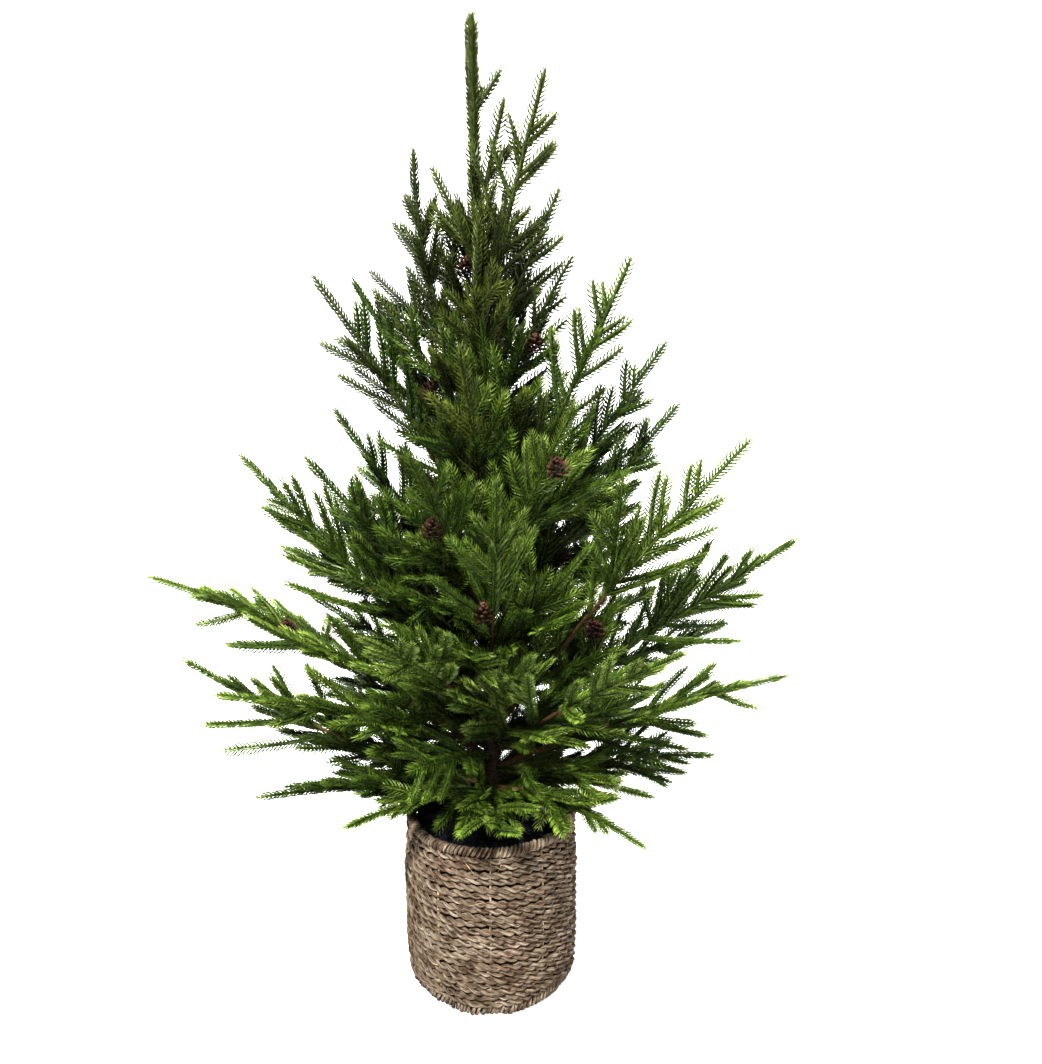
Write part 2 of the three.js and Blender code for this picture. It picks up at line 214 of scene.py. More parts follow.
class Bend:
    # A bent line through three control points, with its length kept as span.
    def __init__(self, start, middle, end, span):
        self.start, self.middle, self.end, self.span = start, middle, end, span

    def pointAt(self, share):
        rest = 1 - share
        return rest * rest * self.start + 2 * share * rest * self.middle + share * share * self.end

    def headingAt(self, share):
        return unit((1 - share) * (self.middle - self.start) + share * (self.end - self.middle))

    def portion(self, early, late):
        first = self.start + early * (self.middle - self.start)
        second = self.middle + early * (self.end - self.middle)
        middle = first + late * (second - first)
        return Bend(self.pointAt(early), middle, self.pointAt(late), self.span * (late - early))

    def frameAt(self, distance, side):
        share = min(max(distance / self.span, 0), 1)
        along = self.headingAt(share)
        across = unit(side - along * side.dot(along))
        point = self.pointAt(share) + along * (distance - share * self.span)
        return point, along, across, np.cross(along, across)


def bentLine(start, heading, endHeading, span):
    middle = start + heading * span / 2
    return Bend(start, middle, middle + endHeading * span / 2, span)


def direction(turn, rise):
    up, around = math.radians(rise), math.radians(turn)
    return np.array([math.cos(up) * math.cos(around), math.cos(up) * math.sin(around), math.sin(up)])


def turned(along, across, angle):
    return along * math.cos(angle) + across * math.sin(angle)


def rolledSide(along, roll):
    level = unit(np.array([-along[1], along[0], 0]))
    return turned(level, np.cross(along, level), math.radians(roll))


def seededRandom(seed):
    state = seed

    def draw():
        nonlocal state
        state = (state * 1664525 + 1013904223) % 2**32
        return state / 2**32

    return draw


def varied(length, rule, draw):
    return length * (1 - rule["shortfall"] + rule["lengthSpread"] * draw())


def variedAngle(angle, spread, draw):
    return math.radians(angle + spread * (draw() - 0.5))


def tapered(part, size=1):
    return lambda share: size * (part["rootRadius"] + share * (part["tipRadius"] - part["rootRadius"]))


def twigRoom(size, rest):
    # The longest twig that suits what is left of its midrib.
    return min(spray["longestTwig"] * size, spray["twigShare"] * rest)


def trunkPoint(height):
    share = (height - trunk["foot"]) / (trunk["top"] - trunk["foot"])
    return np.array([trunk["lean"] * share * share, 0, height])


def trunkRadius(share):
    rise = share * (trunk["top"] - trunk["foot"])
    taper = trunk["footRadius"] + share * (trunk["topRadius"] - trunk["footRadius"])
    return taper + trunk["flare"] * math.exp(-rise / trunk["flareReach"])


# The space that each mass has taken: lines with a radius and an owner.
taken = {"start": [], "run": [], "radius": [], "owner": []}


def claim(lines, radius, owner):
    for start, end in lines:
        taken["start"].append(start)
        taken["run"].append(end - start)
        taken["radius"].append(radius)
        taken["owner"].append(owner)


def claimCurve(curve, radiusAt, owner, pieces):
    for piece in range(pieces):
        line = (curve.pointAt(piece / pieces), curve.pointAt((piece + 1) / pieces))
        claim([line], radiusAt(piece / pieces), owner)


def gapsTo(start, run, starts, runs):
    # The distance from one line to each of many, all of them of some length.
    between = start - starts
    ownSquare, squares = run.dot(run), np.einsum("ij,ij->i", runs, runs)
    ownReach, reaches = between @ run, np.einsum("ij,ij->i", runs, between)
    shared = runs @ run
    spread = np.maximum(ownSquare * squares - shared * shared, 1e-9)
    near = np.clip((shared * reaches - ownReach * squares) / spread, 0, 1)
    far = (shared * near + reaches) / squares
    clipped = np.clip(far, 0, 1)
    near = np.where(far != clipped, np.clip((shared * clipped - ownReach) / ownSquare, 0, 1), near)
    return np.linalg.norm(between + near[:, None] * run - clipped[:, None] * runs, axis=1)


def isFree(lines, radius, owner):
    others = np.array([name != owner for name in taken["owner"]])
    starts, runs = np.array(taken["start"])[others], np.array(taken["run"])[others]
    reach = np.array(taken["radius"])[others] + radius + clearGap
    return all((gapsTo(start, end - start, starts, runs) > reach).all() for start, end in lines)


def strips(start, end, across, halfWidth):
    shifts = [hand * strip["spacing"] * halfWidth * across for hand in (-1, 0, 1)]
    return [(start + shift, end + shift) for shift in shifts]


def spreadTwigs(curve, side, bough, draw):
    twigs = []
    size, owner = bough["size"], bough["name"]
    wide = spray["halfWidth"] * size
    hand = 1 if draw() < 0.5 else -1
    foot = spray["firstTwig"]
    while foot < curve.span - spray["tipTwig"]:
        grown = varied(twigRoom(size, curve.span - foot), spray, draw)
        angle = variedAngle(spray["twigAngle"], spray["angleSpread"], draw)
        point, along, across, out = curve.frameAt(foot, side)
        heading = unit(turned(along, across, hand * angle) + out * spray["cup"] * math.sin(angle))
        twigAcross = unit(np.cross(out, heading))
        for share in shorterTries:
            length = share * grown
            space = strips(point + heading * wide, point + heading * length, twigAcross, wide)
            if length > spray["shortestTwig"] * size and isFree(space, strip["radius"] * wide, owner):
                claim(space, strip["radius"] * wide, owner)
                twigs.append({"foot": foot, "hand": hand, "angle": angle, "length": length})
                break
        hand = -hand
        foot += spray["twigPitch"] * size
    return twigs


def growFork(bough, foot, hand, draw):
    curve = bough["curve"]
    point, along, across, _ = curve.frameAt(foot, bough["side"])
    angle = hand * variedAngle(fork["angle"], fork["angleSpread"], draw)
    heading = turned(along, across, angle)
    lifted = unit(heading + np.array([0, 0, fork["lift"]]))
    roll = math.radians(fork["rollSpread"] * (draw() - 0.5))
    level = turned(across, along, -angle)
    forkSide = turned(level, np.cross(heading, level), roll)
    grown = varied(min(fork["longest"], fork["share"] * (curve.span - foot)), fork, draw)
    for share in shorterTries:
        path = bentLine(point, heading, lifted, share * grown)
        line = (point + heading * 2 * spray["halfWidth"], path.end)
        if path.span > fork["shortest"] and isFree([line], spray["notchHalfWidth"], bough["name"]):
            return {"curve": path, "side": forkSide}
    return None


def growMass(bough, seed):
    draw = seededRandom(seed)
    curve, side = bough["curve"], bough["side"]
    tipStart = bough["wooded"] - stem["overlap"] / curve.span
    tip = curve.portion(tipStart, 1)
    sprays = [{"curve": tip, "side": side, "twigs": spreadTwigs(tip, side, bough, draw)}]
    hand = 1 if draw() < 0.5 else -1
    foot = bough["bare"] * curve.span + fork["first"]
    while foot < tipStart * curve.span:
        grown = growFork(bough, foot, hand, draw)
        if grown:
            claimCurve(grown["curve"], lambda share: spray["notchHalfWidth"], bough["name"], stem["steps"])
            grown["twigs"] = spreadTwigs(grown["curve"], grown["side"], bough, draw)
            sprays.append(grown)
        hand = -hand
        foot += fork["pitch"]
    return sprays


def makeBoughs():
    boughs = []
    for tier, rule in tiers.items():
        for index, (height, turn, riseAtFoot, riseAtTip, length, roll) in enumerate(rule["boughs"]):
            headings = direction(turn, riseAtFoot), direction(turn, riseAtTip)
            curve = bentLine(trunkPoint(height), *headings, length)
            places = [row[2:] for row in conePlaces if row[:2] == (tier, index)]
            cones = [curve.pointAt(share) + np.array([0, 0, cone["stand"]]) for share, *_ in places]
            hung = [
                curve.pointAt(share) + cone["hang"] * direction(hangTurn, 0) - np.array([0, 0, drop])
                for share, hangTurn, drop in places
            ]
            boughs.append({
                "tier": tier,
                "name": f"{tier}_{index + 1}",
                "bare": rule["bare"],
                "wooded": rule["wooded"],
                "size": rule["size"],
                "curve": curve,
                "side": rolledSide(curve.headingAt(0.5), roll),
                "cones": cones,
                "hung": hung,
            })
    headings = direction(leader["turn"], leader["riseAtFoot"]), direction(leader["turn"], leader["riseAtTip"])
    boughs.append({
        "tier": "top",
        "name": "leader",
        "bare": 0,
        "wooded": leader["wooded"],
        "size": leader["size"],
        "curve": bentLine(trunkPoint(trunk["top"] + clearGap), *headings, treeTop - trunk["top"] - clearGap),
        "side": np.array([1.0, 0, 0]),
        "cones": [],
        "hung": [],
    })
    return boughs


def growTree():
    boughs = makeBoughs()
    middle = np.array([0, 0, (trunk["foot"] + trunk["top"]) / 2])
    height = trunk["top"] - trunk["foot"]
    trunkLine = Bend(trunkPoint(trunk["foot"]), middle, trunkPoint(trunk["top"]), height)
    claimCurve(trunkLine, trunkRadius, "trunk", 10)
    for bough in boughs:
        curve, name = bough["curve"], bough["name"]
        stemLine = curve.portion(bough["bare"], bough["wooded"])
        claimCurve(stemLine, tapered(stem, bough["size"]), name, stem["steps"])
        tipLine = curve.portion(bough["wooded"], 1)
        claimCurve(tipLine, lambda share: spray["notchHalfWidth"], name, stem["steps"])
        for centre in bough["cones"]:
            reach = np.array([0, 0, cone["length"] / 2 - cone["radius"]])
            claim([(centre - reach, centre + reach)], cone["radius"], name)
        if bough["bare"] > 0:
            limbLine = curve.portion(0, bough["bare"] - clearGap / curve.span)
            claimCurve(limbLine, tapered(limb), "limb " + name, stem["steps"])
    for index, bough in enumerate(boughs):
        bough["sprays"] = growMass(bough, index + 1)
    return boughs


boughs = growTree()
byName = {bough["name"]: bough for bough in boughs}

# Twigs of the dressed tree. They stand on the same boughs as the solids' blades, and between them.
finer = {
    "seed": 11,
    "ribStep": 18,          # between the points of a midrib
    "needlePoint": 4,       # a twig ends this short of its reach, for its last needles
    "forward": 0.16,        # how far a twig bends towards its spray's tip
    "outOfPlane": 12,       # degrees a twig leaves its spray's plane
    "leaderBare": 0.4,      # share of the leader above which it has no side twigs
    "goldenTurn": 137.508,
    "fullness": {"skirt": 0.6, "heart": 1, "lower": 1, "middle": 1, "upper": 0.85, "top": 0.95},
    "slimming": {"skirt": 0.45, "heart": 0, "lower": 0.2, "middle": 0.1, "upper": 0.05, "top": 0},
}

# A partner stands close to each twig, on the midrib's other side.
partner = {"shift": 9, "share": 0.92, "tipShare": 0.8, "shortest": 0.7}

# Raised twigs stand above and below a spray.
raised = {"first": 16, "stop": 70, "pitch": 50, "share": 0.9, "roll": 45}

# Single twigs stand on a bough's own stem and round the trunk.
onStem = {"first": 14, "pitch": 13, "longest": 88, "share": 0.6, "roll": 75, "fromTrunk": 12}
onTrunk = {"lowest": 300, "highest": 752, "pitch": 11, "longest": 96, "rise": 40, "steeper": 28}

# Above this height the trunk carries needles itself, and so does the leader.
trunkTop = {"needles": 660, "past": 8, "points": 9, "leader": (0.02, 0.94), "tint": 1.9}

# Short inner boughs close the crown round the trunk.
inner = {
    "count": 42,
    "lowest": 186,
    "highest": 690,
    "reach": 0.52,          # of the crown's own reach a little above its foot
    "above": 40,
    "riseLow": 12,
    "riseHigh": 66,
    "size": 0.85,
    "first": 26,
    "stop": 20,
    "pitch": 26,
    "share": 0.8,
    "least": 22,
}

# Twigs keep out of short lines in front of each cone and of one bare stem.
openView = {
    "coneRoom": 11.5,
    "coneFront": 20,
    "stem": "lower_3",
    "stemShares": (0.1, 0.5),
    "stemLines": 14,
    "stemAhead": 14,
    "stemRoom": 8,
    "stemFront": 70,
}

# Twigs stay clear of the basket, and those at the front leave its rim and the felt in view.
rimView = {
    "overFill": 5,
    "besideWall": 8,
    "overRim": 7,
    "rimMiddle": 4,
    "besideRim": 11,
    "frontFrom": -20,
    "halfWidth": 86,
    "above": 13,
    "slope": 0.59,
}

# Single sprigs that fill the outline: bough, share along it, turn, rise, length.
sprigs = [
    ("skirt_1", 0.5, 186, -9, 112),
    ("skirt_1", 0.62, 186, -4, 92),
    ("skirt_2", 0.55, 186, -3, 84),
    ("lower_1", 0.6, 182, 34, 92),
    ("lower_1", 0.52, 190, 20, 84),
    ("lower_1", 0.4, 186, 17, 112),
    ("lower_2", 0.45, 355, 46, 106),
    ("lower_2", 0.5, 350, -2, 96),
    ("lower_2", 0.68, 5, -8, 60),
    ("lower_3", 0.38, 350, 36, 112),
    ("lower_3", 0.5, 345, 22, 88),
    ("skirt_4", 0.48, 350, -14, 76),
    ("skirt_4", 0.36, 345, -10, 92),
    ("skirt_3", 0.45, 350, -6, 96),
]

# Low twigs behind the trunk, which close the view past its foot: turn, height, rise, length.
lowFill = [
    (8, 194, 6, 105), (25, 197, 5, 100), (42, 192, 6, 95), (62, 196, 4, 90), (88, 193, 5, 92),
    (112, 197, 5, 90), (136, 192, 6, 96), (154, 196, 5, 100), (172, 194, 6, 105),
    (16, 203, 17, 128), (34, 206, 19, 126), (54, 202, 18, 124), (76, 205, 17, 128),
    (100, 203, 18, 126), (124, 206, 18, 124), (146, 202, 19, 128), (165, 205, 17, 126),
]

# The crown's radius at some heights.
crown = {"heights": [180, 260, 380, 560, 760, 914], "reach": [230, 300, 250, 160, 80, 20]}
tierTops = {"heart": 330, "middle": 470, "upper": 590}

# Tints: 0 is the darkest green and 5 the yellow green of fresh tips.
tone = {
    "tiers": {"skirt": 2.5, "heart": 2.45, "lower": 2.5, "middle": 2.25, "upper": 1.85, "top": 1.75},
    # painted light and shade: needles towards the front are made lighter, those behind the trunk darker
    "front": 0.7,           # lighter towards the front
    # painted shade: needles towards the ends of the boughs are made darker
    "outer": 0.4,           # darker towards the ends of the boughs, past even
    "even": 0.6,
    "spread": 0.7,
    "heights": [180, 380, 560, 760, 914],
    "reach": [330, 270, 160, 80, 20],
}

twigs = []
chance = random.Random(finer["seed"])


def vary(spread):
    return chance.uniform(-spread, spread)


def twigPath(curve, side, foot, hand, angle, length, lift=0.0):
    # A twig laid on its spray, bent a little forward, with the way that its needles spread.
    points, reach = [], max(length - finer["needlePoint"], 5)
    for share in (0, 0.25, 0.5, 0.75, 1):
        far = share * reach
        forward = foot + far * math.cos(angle) * (1 + 0.4 * finer["forward"] * share)
        sideways = far * math.sin(angle) * (1 - finer["forward"] * share)
        point, _, across, out = curve.frameAt(forward, side)
        rise = spray["cup"] * sideways + math.tan(lift) * far
        points.append(point + across * hand * sideways + out * rise)
    heading = unit(points[-1] - points[0])
    return np.array(points), unit(np.cross(out, heading))


def midribPath(curve, side):
    reach = curve.span - finer["needlePoint"]
    steps = max(3, round(curve.span / finer["ribStep"]))
    points = [curve.frameAt(reach * step / steps, side)[0] for step in range(steps + 1)]
    return np.array(points), curve.frameAt(reach / 2, side)[2]


def wallReach(height):
    # The basket's outer radius at a height, with room for the cords.
    heights = [0, basket["cornerHeight"], basket["bellyLow"], basket["bellyHigh"], basket["height"]]
    radii = ("footRadius", "cornerRadius", "bellyRadius", "bellyRadius", "rimRadius")
    return np.interp(height, heights, [basket[name] for name in radii])


def clearOfBasket(points):
    for x, y, z in points:
        away = math.hypot(x, y)
        if z < basket["fillTop"] + rimView["overFill"] and away < wallReach(z) + rimView["besideWall"]:
            return False
        fromRim = abs(away - basket["rimRadius"] + rimView["rimMiddle"])
        if z < basket["height"] + rimView["overRim"] and fromRim < rimView["besideRim"]:
            return False
        if y < rimView["frontFrom"] and abs(x) < rimView["halfWidth"]:
            if z < basket["height"] + rimView["above"] + rimView["slope"] * (-y - basket["rimRadius"]):
                return False
    return True


def findOpenLines():
    curve = byName[openView["stem"]]["curve"]
    shares = np.linspace(*openView["stemShares"], openView["stemLines"])
    hung = [centre for bough in boughs for centre in bough["hung"]]
    stems = [curve.pointAt(share) - (0, openView["stemAhead"], 0) for share in shares]
    reaches = [openView["coneFront"]] * len(hung) + [openView["stemFront"]] * len(stems)
    room = [openView["coneRoom"]] * len(hung) + [openView["stemRoom"]] * len(stems)
    return np.array(hung + stems), np.array([(0, -reach, 0) for reach in reaches]), np.array(room)


openStarts, openRuns, openRoom = findOpenLines()


def clearOfView(points):
    lines = zip(points, points[1:])
    return all((gapsTo(start, end - start, openStarts, openRuns) > openRoom).all() for start, end in lines)


def keep(tier, kind, path, tint):
    # Kinds are rib, side and again, which is a second layer of needles on a twig that is there.
    points, spread = path
    while len(points) > 2 and not clearOfBasket(points):
        points = points[:-1]
    if len(points) > 2 and (kind != "side" or clearOfView(points)):
        twigs.append({"tier": tier, "kind": kind, "points": points, "spread": spread, "tint": tint})


# The tier's own green with a random spread, plus painted light on needles towards the front and painted shade
# on those behind the trunk and at the ends of the boughs.
def tintOf(tier, points):
    x, y, z = points[-1]
    reach = np.interp(z, tone["heights"], tone["reach"])
    # Painted shade: the further out along the bough, the darker the needles.
    outward = min(math.hypot(x, y) / reach, 1)
    # Painted light and shade: lighter towards the front, darker behind the trunk.
    forward = np.clip(-y / reach, -1, 1)
    tint = tone["tiers"][tier] + tone["front"] * forward - tone["outer"] * (outward - tone["even"])
    return tint + vary(tone["spread"])


def growOwnTwigs(bough, grown, tint):
    # The twigs that the solids' blades stand for.
    curve, tier, upright = grown["curve"], bough["tier"], bough["name"] == "leader"
    for twig in grown["twigs"]:
        if upright and (twig["foot"] > finer["leaderBare"] * curve.span or twig["hand"] < 0):
            continue
        lift = math.radians(vary(0.5) * finer["outOfPlane"])
        length = (1 - finer["slimming"][tier] * twig["foot"] / curve.span) * twig["length"]
        path = twigPath(curve, grown["side"], twig["foot"], twig["hand"], twig["angle"], length, lift)
        keep(tier, "side", path, tint + chance.uniform(-0.2, 0.3))


def growPartners(bough, grown, tint):
    curve, size, tier = grown["curve"], bough["size"], bough["tier"]
    foot, hand = spray["firstTwig"] - partner["shift"], 1
    while foot < curve.span - partner["tipShare"] * spray["tipTwig"]:
        near = [twig for twig in grown["twigs"] if abs(twig["foot"] - foot) < spray["twigPitch"] * size / 2]
        hand = -near[0]["hand"] if near else -hand
        share = partner["share"] * chance.uniform(0.75, 1)
        share *= 1 - finer["slimming"][tier] * foot / curve.span
        length = share * twigRoom(size, curve.span - foot)
        lift = math.radians(vary(1) * finer["outOfPlane"])
        angle = math.radians(spray["twigAngle"] + vary(4))
        longEnough = length > partner["shortest"] * spray["shortestTwig"] * size
        if longEnough and chance.random() < finer["fullness"][tier]:
            path = twigPath(curve, grown["side"], foot, hand, angle, length, lift)
            keep(tier, "side", path, tint + vary(0.3))
        foot += spray["twigPitch"] * size


def growRaised(bough, grown, tint):
    curve, size, tier = grown["curve"], bough["size"], bough["tier"]
    foot, hand = raised["first"], 1
    while foot < curve.span - raised["stop"]:
        _, _, across, out = curve.frameAt(foot, grown["side"])
        roll = math.radians(90 * hand + vary(1) * raised["roll"])
        length = twigRoom(size, curve.span - foot)
        length *= raised["share"] * chance.uniform(0.8, 1.05)
        angle = math.radians(spray["twigAngle"] + vary(6))
        path = twigPath(curve, turned(across, out, roll), foot, 1, angle, length)
        if chance.random() < finer["fullness"][tier]:
            keep(tier, "side", path, tint + chance.uniform(-0.2, 0.5))
        hand = -hand
        foot += raised["pitch"] * size * chance.uniform(0.8, 1.2)


def growOnStem(bough):
    curve, size, tier = bough["curve"], bough["size"], bough["tier"]
    foot, hand = bough["bare"] * curve.span + onStem["first"], 1
    while foot < bough["wooded"] * curve.span:
        _, _, across, out = curve.frameAt(foot, bough["side"])
        rolled = turned(across, out, math.radians(vary(1) * onStem["roll"]))
        length = min(onStem["longest"] * size, onStem["share"] * (curve.span - foot))
        length *= chance.uniform(0.7, 1)
        angle = math.radians(spray["twigAngle"] + chance.uniform(-5, 8))
        path = twigPath(curve, rolled, foot, hand, angle, length)
        if min(math.hypot(*point[:2]) for point in path[0][2:]) > onStem["fromTrunk"]:
            # Painted shade: twigs on a bough's own stem, in close to the trunk, are made darker.
            keep(tier, "side", path, tintOf(tier, path[0]) - 0.3)
        hand = -hand
        foot += onStem["pitch"] * chance.uniform(0.8, 1.2)


def growSingle(tier, start, turn, rise, curl, length, roll, paintedShade):
    # One twig of its own, which turns up or down by curl degrees on its way. Its tint is lowered by the last
    # argument, which is painted shade.
    curve = bentLine(start, direction(turn, rise), direction(turn, rise + curl), length)
    path = midribPath(curve, rolledSide(curve.headingAt(0.5), vary(roll)))
    keep(tier, "side", path, tintOf(tier, path[0]) - paintedShade)


def makeInnerSprays():
    sprays = []
    for number in range(inner["count"]):
        share = ((number + 0.5) / inner["count"]) ** 1.5
        height = inner["lowest"] + share * (inner["highest"] - inner["lowest"])
        turn = number * finer["goldenTurn"] + vary(12)
        rise = inner["riseLow"] + share * (inner["riseHigh"] - inner["riseLow"]) + vary(10)
        reach = inner["reach"] * np.interp(height + inner["above"], crown["heights"], crown["reach"])
        span = reach * chance.uniform(0.8, 1.1) / math.cos(math.radians(rise) * 0.8)
        curve = bentLine(trunkPoint(height), direction(turn, rise), direction(turn, rise - 8), span)
        side = rolledSide(curve.headingAt(0.5), vary(60))
        tier = next((name for name, top in tierTops.items() if height < top), "top")
        sprays.append((tier, curve, side))
    return sprays


def growInnerSprays():
    for tier, curve, side in makeInnerSprays():
        rib = midribPath(curve, side)
        # Painted shade: the inner sprays round the trunk are made darker.
        tint = tintOf(tier, rib[0]) - 0.3
        keep(tier, "rib", rib, tint)
        foot, hand = inner["first"], 1
        while foot < curve.span - inner["stop"]:
            _, _, across, out = curve.frameAt(foot, side)
            rolled = turned(across, out, math.radians(vary(45)))
            room = inner["share"] * (curve.span - foot) + inner["least"]
            length = min(spray["longestTwig"] * inner["size"], room)
            angle = math.radians(spray["twigAngle"] + chance.uniform(-6, 8))
            path = twigPath(curve, rolled, foot, hand, angle, length * chance.uniform(0.75, 1.05))
            keep(tier, "side", path, tint + vary(0.3))
            hand = -hand
            foot += inner["pitch"] * inner["size"] * chance.uniform(0.4, 0.7)


def dressTrunkTop():
    # Layers of needles on the trunk's top and on the leader, each turned from the one before.
    heights = np.linspace(trunkTop["needles"], trunk["top"] + trunkTop["past"], trunkTop["points"])
    bare = np.array([trunkPoint(height) for height in heights])
    shares = np.linspace(*trunkTop["leader"], trunkTop["points"])
    tip = np.array([byName["leader"]["curve"].pointAt(share) for share in shares])
    for number, line in enumerate((bare, bare, bare, tip, tip)):
        spread = unit(np.array([math.cos(number), math.sin(number), 0]))
        keep("top", "again" if number else "rib", (line, spread), trunkTop["tint"])


def growOnTrunk():
    height, number = onTrunk["lowest"], 0
    while height < onTrunk["highest"]:
        share = (height - onTrunk["lowest"]) / (trunk["top"] - onTrunk["lowest"])
        turn = number * finer["goldenTurn"] + vary(15)
        rise = onTrunk["rise"] + onTrunk["steeper"] * share + vary(7)
        length = onTrunk["longest"] * (1 - 0.5 * share) * chance.uniform(0.75, 1.1)
        tier = "middle" if height < tierTops["middle"] else "upper" if height < tierTops["upper"] else "top"
        # Painted shade: twigs round the trunk are made darker.
        growSingle(tier, trunkPoint(height), turn, rise, 10, length, 90, 0.4)
        number += 1
        height += onTrunk["pitch"] * chance.uniform(0.8, 1.2)


def growTwigs():
    for bough in boughs:
        for grown in bough["sprays"]:
            rib = midribPath(grown["curve"], grown["side"])
            tint = tintOf(bough["tier"], rib[0])
            keep(bough["tier"], "rib", rib, tint)
            growOwnTwigs(bough, grown, tint)
            if bough["name"] != "leader":
                growPartners(bough, grown, tint)
            growRaised(bough, grown, tint)
        growOnStem(bough)
    for name, share, turn, rise, length in sprigs:
        bough = byName[name]
        growSingle(bough["tier"], bough["curve"].pointAt(share), turn, rise, 6, length, 60, 0)
    growInnerSprays()
    dressTrunkTop()
    growOnTrunk()
    for turn, height, rise, length in lowFill:
        # Painted shade: the low twigs behind the trunk are made darker.
        growSingle("heart", trunkPoint(height), turn, rise, -4, length, 20, 0.5)


growTwigs()
print("grown:", len(boughs), "boughs,", sum(len(b["sprays"]) for b in boughs), "sprays,", len(twigs), "twigs")


# Helpers for node trees.
def connect(tree, socket, value):
    if isinstance(value, bpy.types.NodeSocket):
        tree.links.new(value, socket)
    else:
        socket.default_value = value


def addNode(tree, kind, inputs=None, **settings):
    node = tree.nodes.new(kind)
    for name, value in settings.items():
        setattr(node, name, value)
    for key, value in (inputs or {}).items():
        connect(tree, node.inputs[key], value)
    return node


def calc(tree, operation, first, second=0.0, third=0.0):
    inputs = {0: first, 1: second, 2: third}
    return addNode(tree, "ShaderNodeMath", inputs, operation=operation).outputs[0]


def vectorCalc(tree, operation, first, second=(0, 0, 0)):
    key = 3 if operation == "SCALE" else 1
    node = addNode(tree, "ShaderNodeVectorMath", {0: first, key: second}, operation=operation)
    return node.outputs[1 if operation in ("LENGTH", "DOT_PRODUCT") else 0]


def mapped(tree, value, low, high, toLow, toHigh):
    return addNode(tree, "ShaderNodeMapRange", {0: value, 1: low, 2: high, 3: toLow, 4: toHigh}).outputs[0]


def combined(tree, x, y, z):
    return addNode(tree, "ShaderNodeCombineXYZ", {0: x, 1: y, 2: z}).outputs[0]


def product(tree, first, second):
    return calc(tree, "MULTIPLY", first, second)


def named(tree, name, kind="FLOAT"):
    return addNode(tree, "GeometryNodeInputNamedAttribute", {"Name": name}, data_type=kind).outputs[0]


def stored(tree, geometry, name, value, **settings):
    inputs = {"Geometry": geometry, "Name": name, "Value": value}
    return addNode(tree, "GeometryNodeStoreNamedAttribute", inputs, **settings).outputs[0]


def ownPlace(tree):
    return addNode(tree, "GeometryNodeInputPosition").outputs[0]


def split(tree, vector):
    return addNode(tree, "ShaderNodeSeparateXYZ", {0: vector}).outputs


def setPlace(tree, geometry, place):
    inputs = {"Geometry": geometry, "Position": place}
    return addNode(tree, "GeometryNodeSetPosition", inputs).outputs[0]


def moved(tree, geometry, offset):
    inputs = {"Geometry": geometry, "Offset": offset}
    return addNode(tree, "GeometryNodeSetPosition", inputs).outputs[0]


def copies(tree, points, instance, rotation, scale):
    inputs = {"Points": points, "Instance": instance, "Rotation": rotation, "Scale": scale}
    return addNode(tree, "GeometryNodeInstanceOnPoints", inputs).outputs[0]


def realized(tree, geometry):
    return addNode(tree, "GeometryNodeRealizeInstances", {"Geometry": geometry}).outputs[0]


def joined(tree, parts):
    node = addNode(tree, "GeometryNodeJoinGeometry")
    for part in parts:
        tree.links.new(part, node.inputs[0])
    return node.outputs[0]


def resampled(tree, mesh, mode, **inputs):
    # The mesh's lines as curves, with points at an even Length apart or of a given Count.
    curve = addNode(tree, "GeometryNodeMeshToCurve", {0: mesh}).outputs[0]
    return addNode(tree, "GeometryNodeResampleCurve", {0: curve, **inputs}, mode=mode).outputs[0]


def swept(tree, curve, profile, radius):
    inputs = {0: curve, "Profile Curve": profile, "Scale": radius, "Fill Caps": True}
    return addNode(tree, "GeometryNodeCurveToMesh", inputs).outputs[0]


def roundProfile(tree, sides):
    inputs = {"Resolution": sides, "Radius": 1.0}
    return addNode(tree, "GeometryNodeCurvePrimitiveCircle", inputs).outputs[0]


def randomBetween(tree, low, high, seed):
    return addNode(tree, "FunctionNodeRandomValue", {2: low, 3: high, "Seed": seed}).outputs[1]


def noiseAt(tree, place, scale, detail=2.0):
    # A value that wanders between about -1 and 1.
    noise = addNode(tree, "ShaderNodeTexNoise", {"Vector": place, "Scale": scale, "Detail": detail})
    return calc(tree, "MULTIPLY_ADD", noise.outputs[0], 2.0, -1.0)


def newTree(name, sizes):
    tree = bpy.data.node_groups.new(name, "GeometryNodeTree")
    tree.interface.new_socket("Geometry", in_out="INPUT", socket_type="NodeSocketGeometry")
    tree.interface.new_socket("Geometry", in_out="OUTPUT", socket_type="NodeSocketGeometry")
    for label, value in sizes.items():
        kind = "NodeSocketInt" if isinstance(value, int) else "NodeSocketFloat"
        tree.interface.new_socket(label, in_out="INPUT", socket_type=kind).default_value = value
    return tree, addNode(tree, "NodeGroupInput").outputs


def paint(tree, geometry, materials):
    # One material, or several dealt out by the whole numbers nearest to the attribute tint.
    for number, material in enumerate(materials):
        inputs = {"Geometry": geometry, "Material": material}
        if len(materials) > 1:
            low = calc(tree, "GREATER_THAN", named(tree, "tint"), number - 0.5 if number else -99.0)
            top = number == len(materials) - 1
            high = calc(tree, "LESS_THAN", named(tree, "tint"), 99.0 if top else number + 0.5)
            inputs["Selection"] = calc(tree, "MULTIPLY", low, high)
        geometry = addNode(tree, "GeometryNodeSetMaterial", inputs).outputs[0]
    return geometry


def endTree(tree, geometry, materials, smooth=True):
    inputs = {0: realized(tree, geometry), 2: smooth}
    geometry = addNode(tree, "GeometryNodeSetShadeSmooth", inputs).outputs[0]
    addNode(tree, "NodeGroupOutput", {0: paint(tree, geometry, materials)})


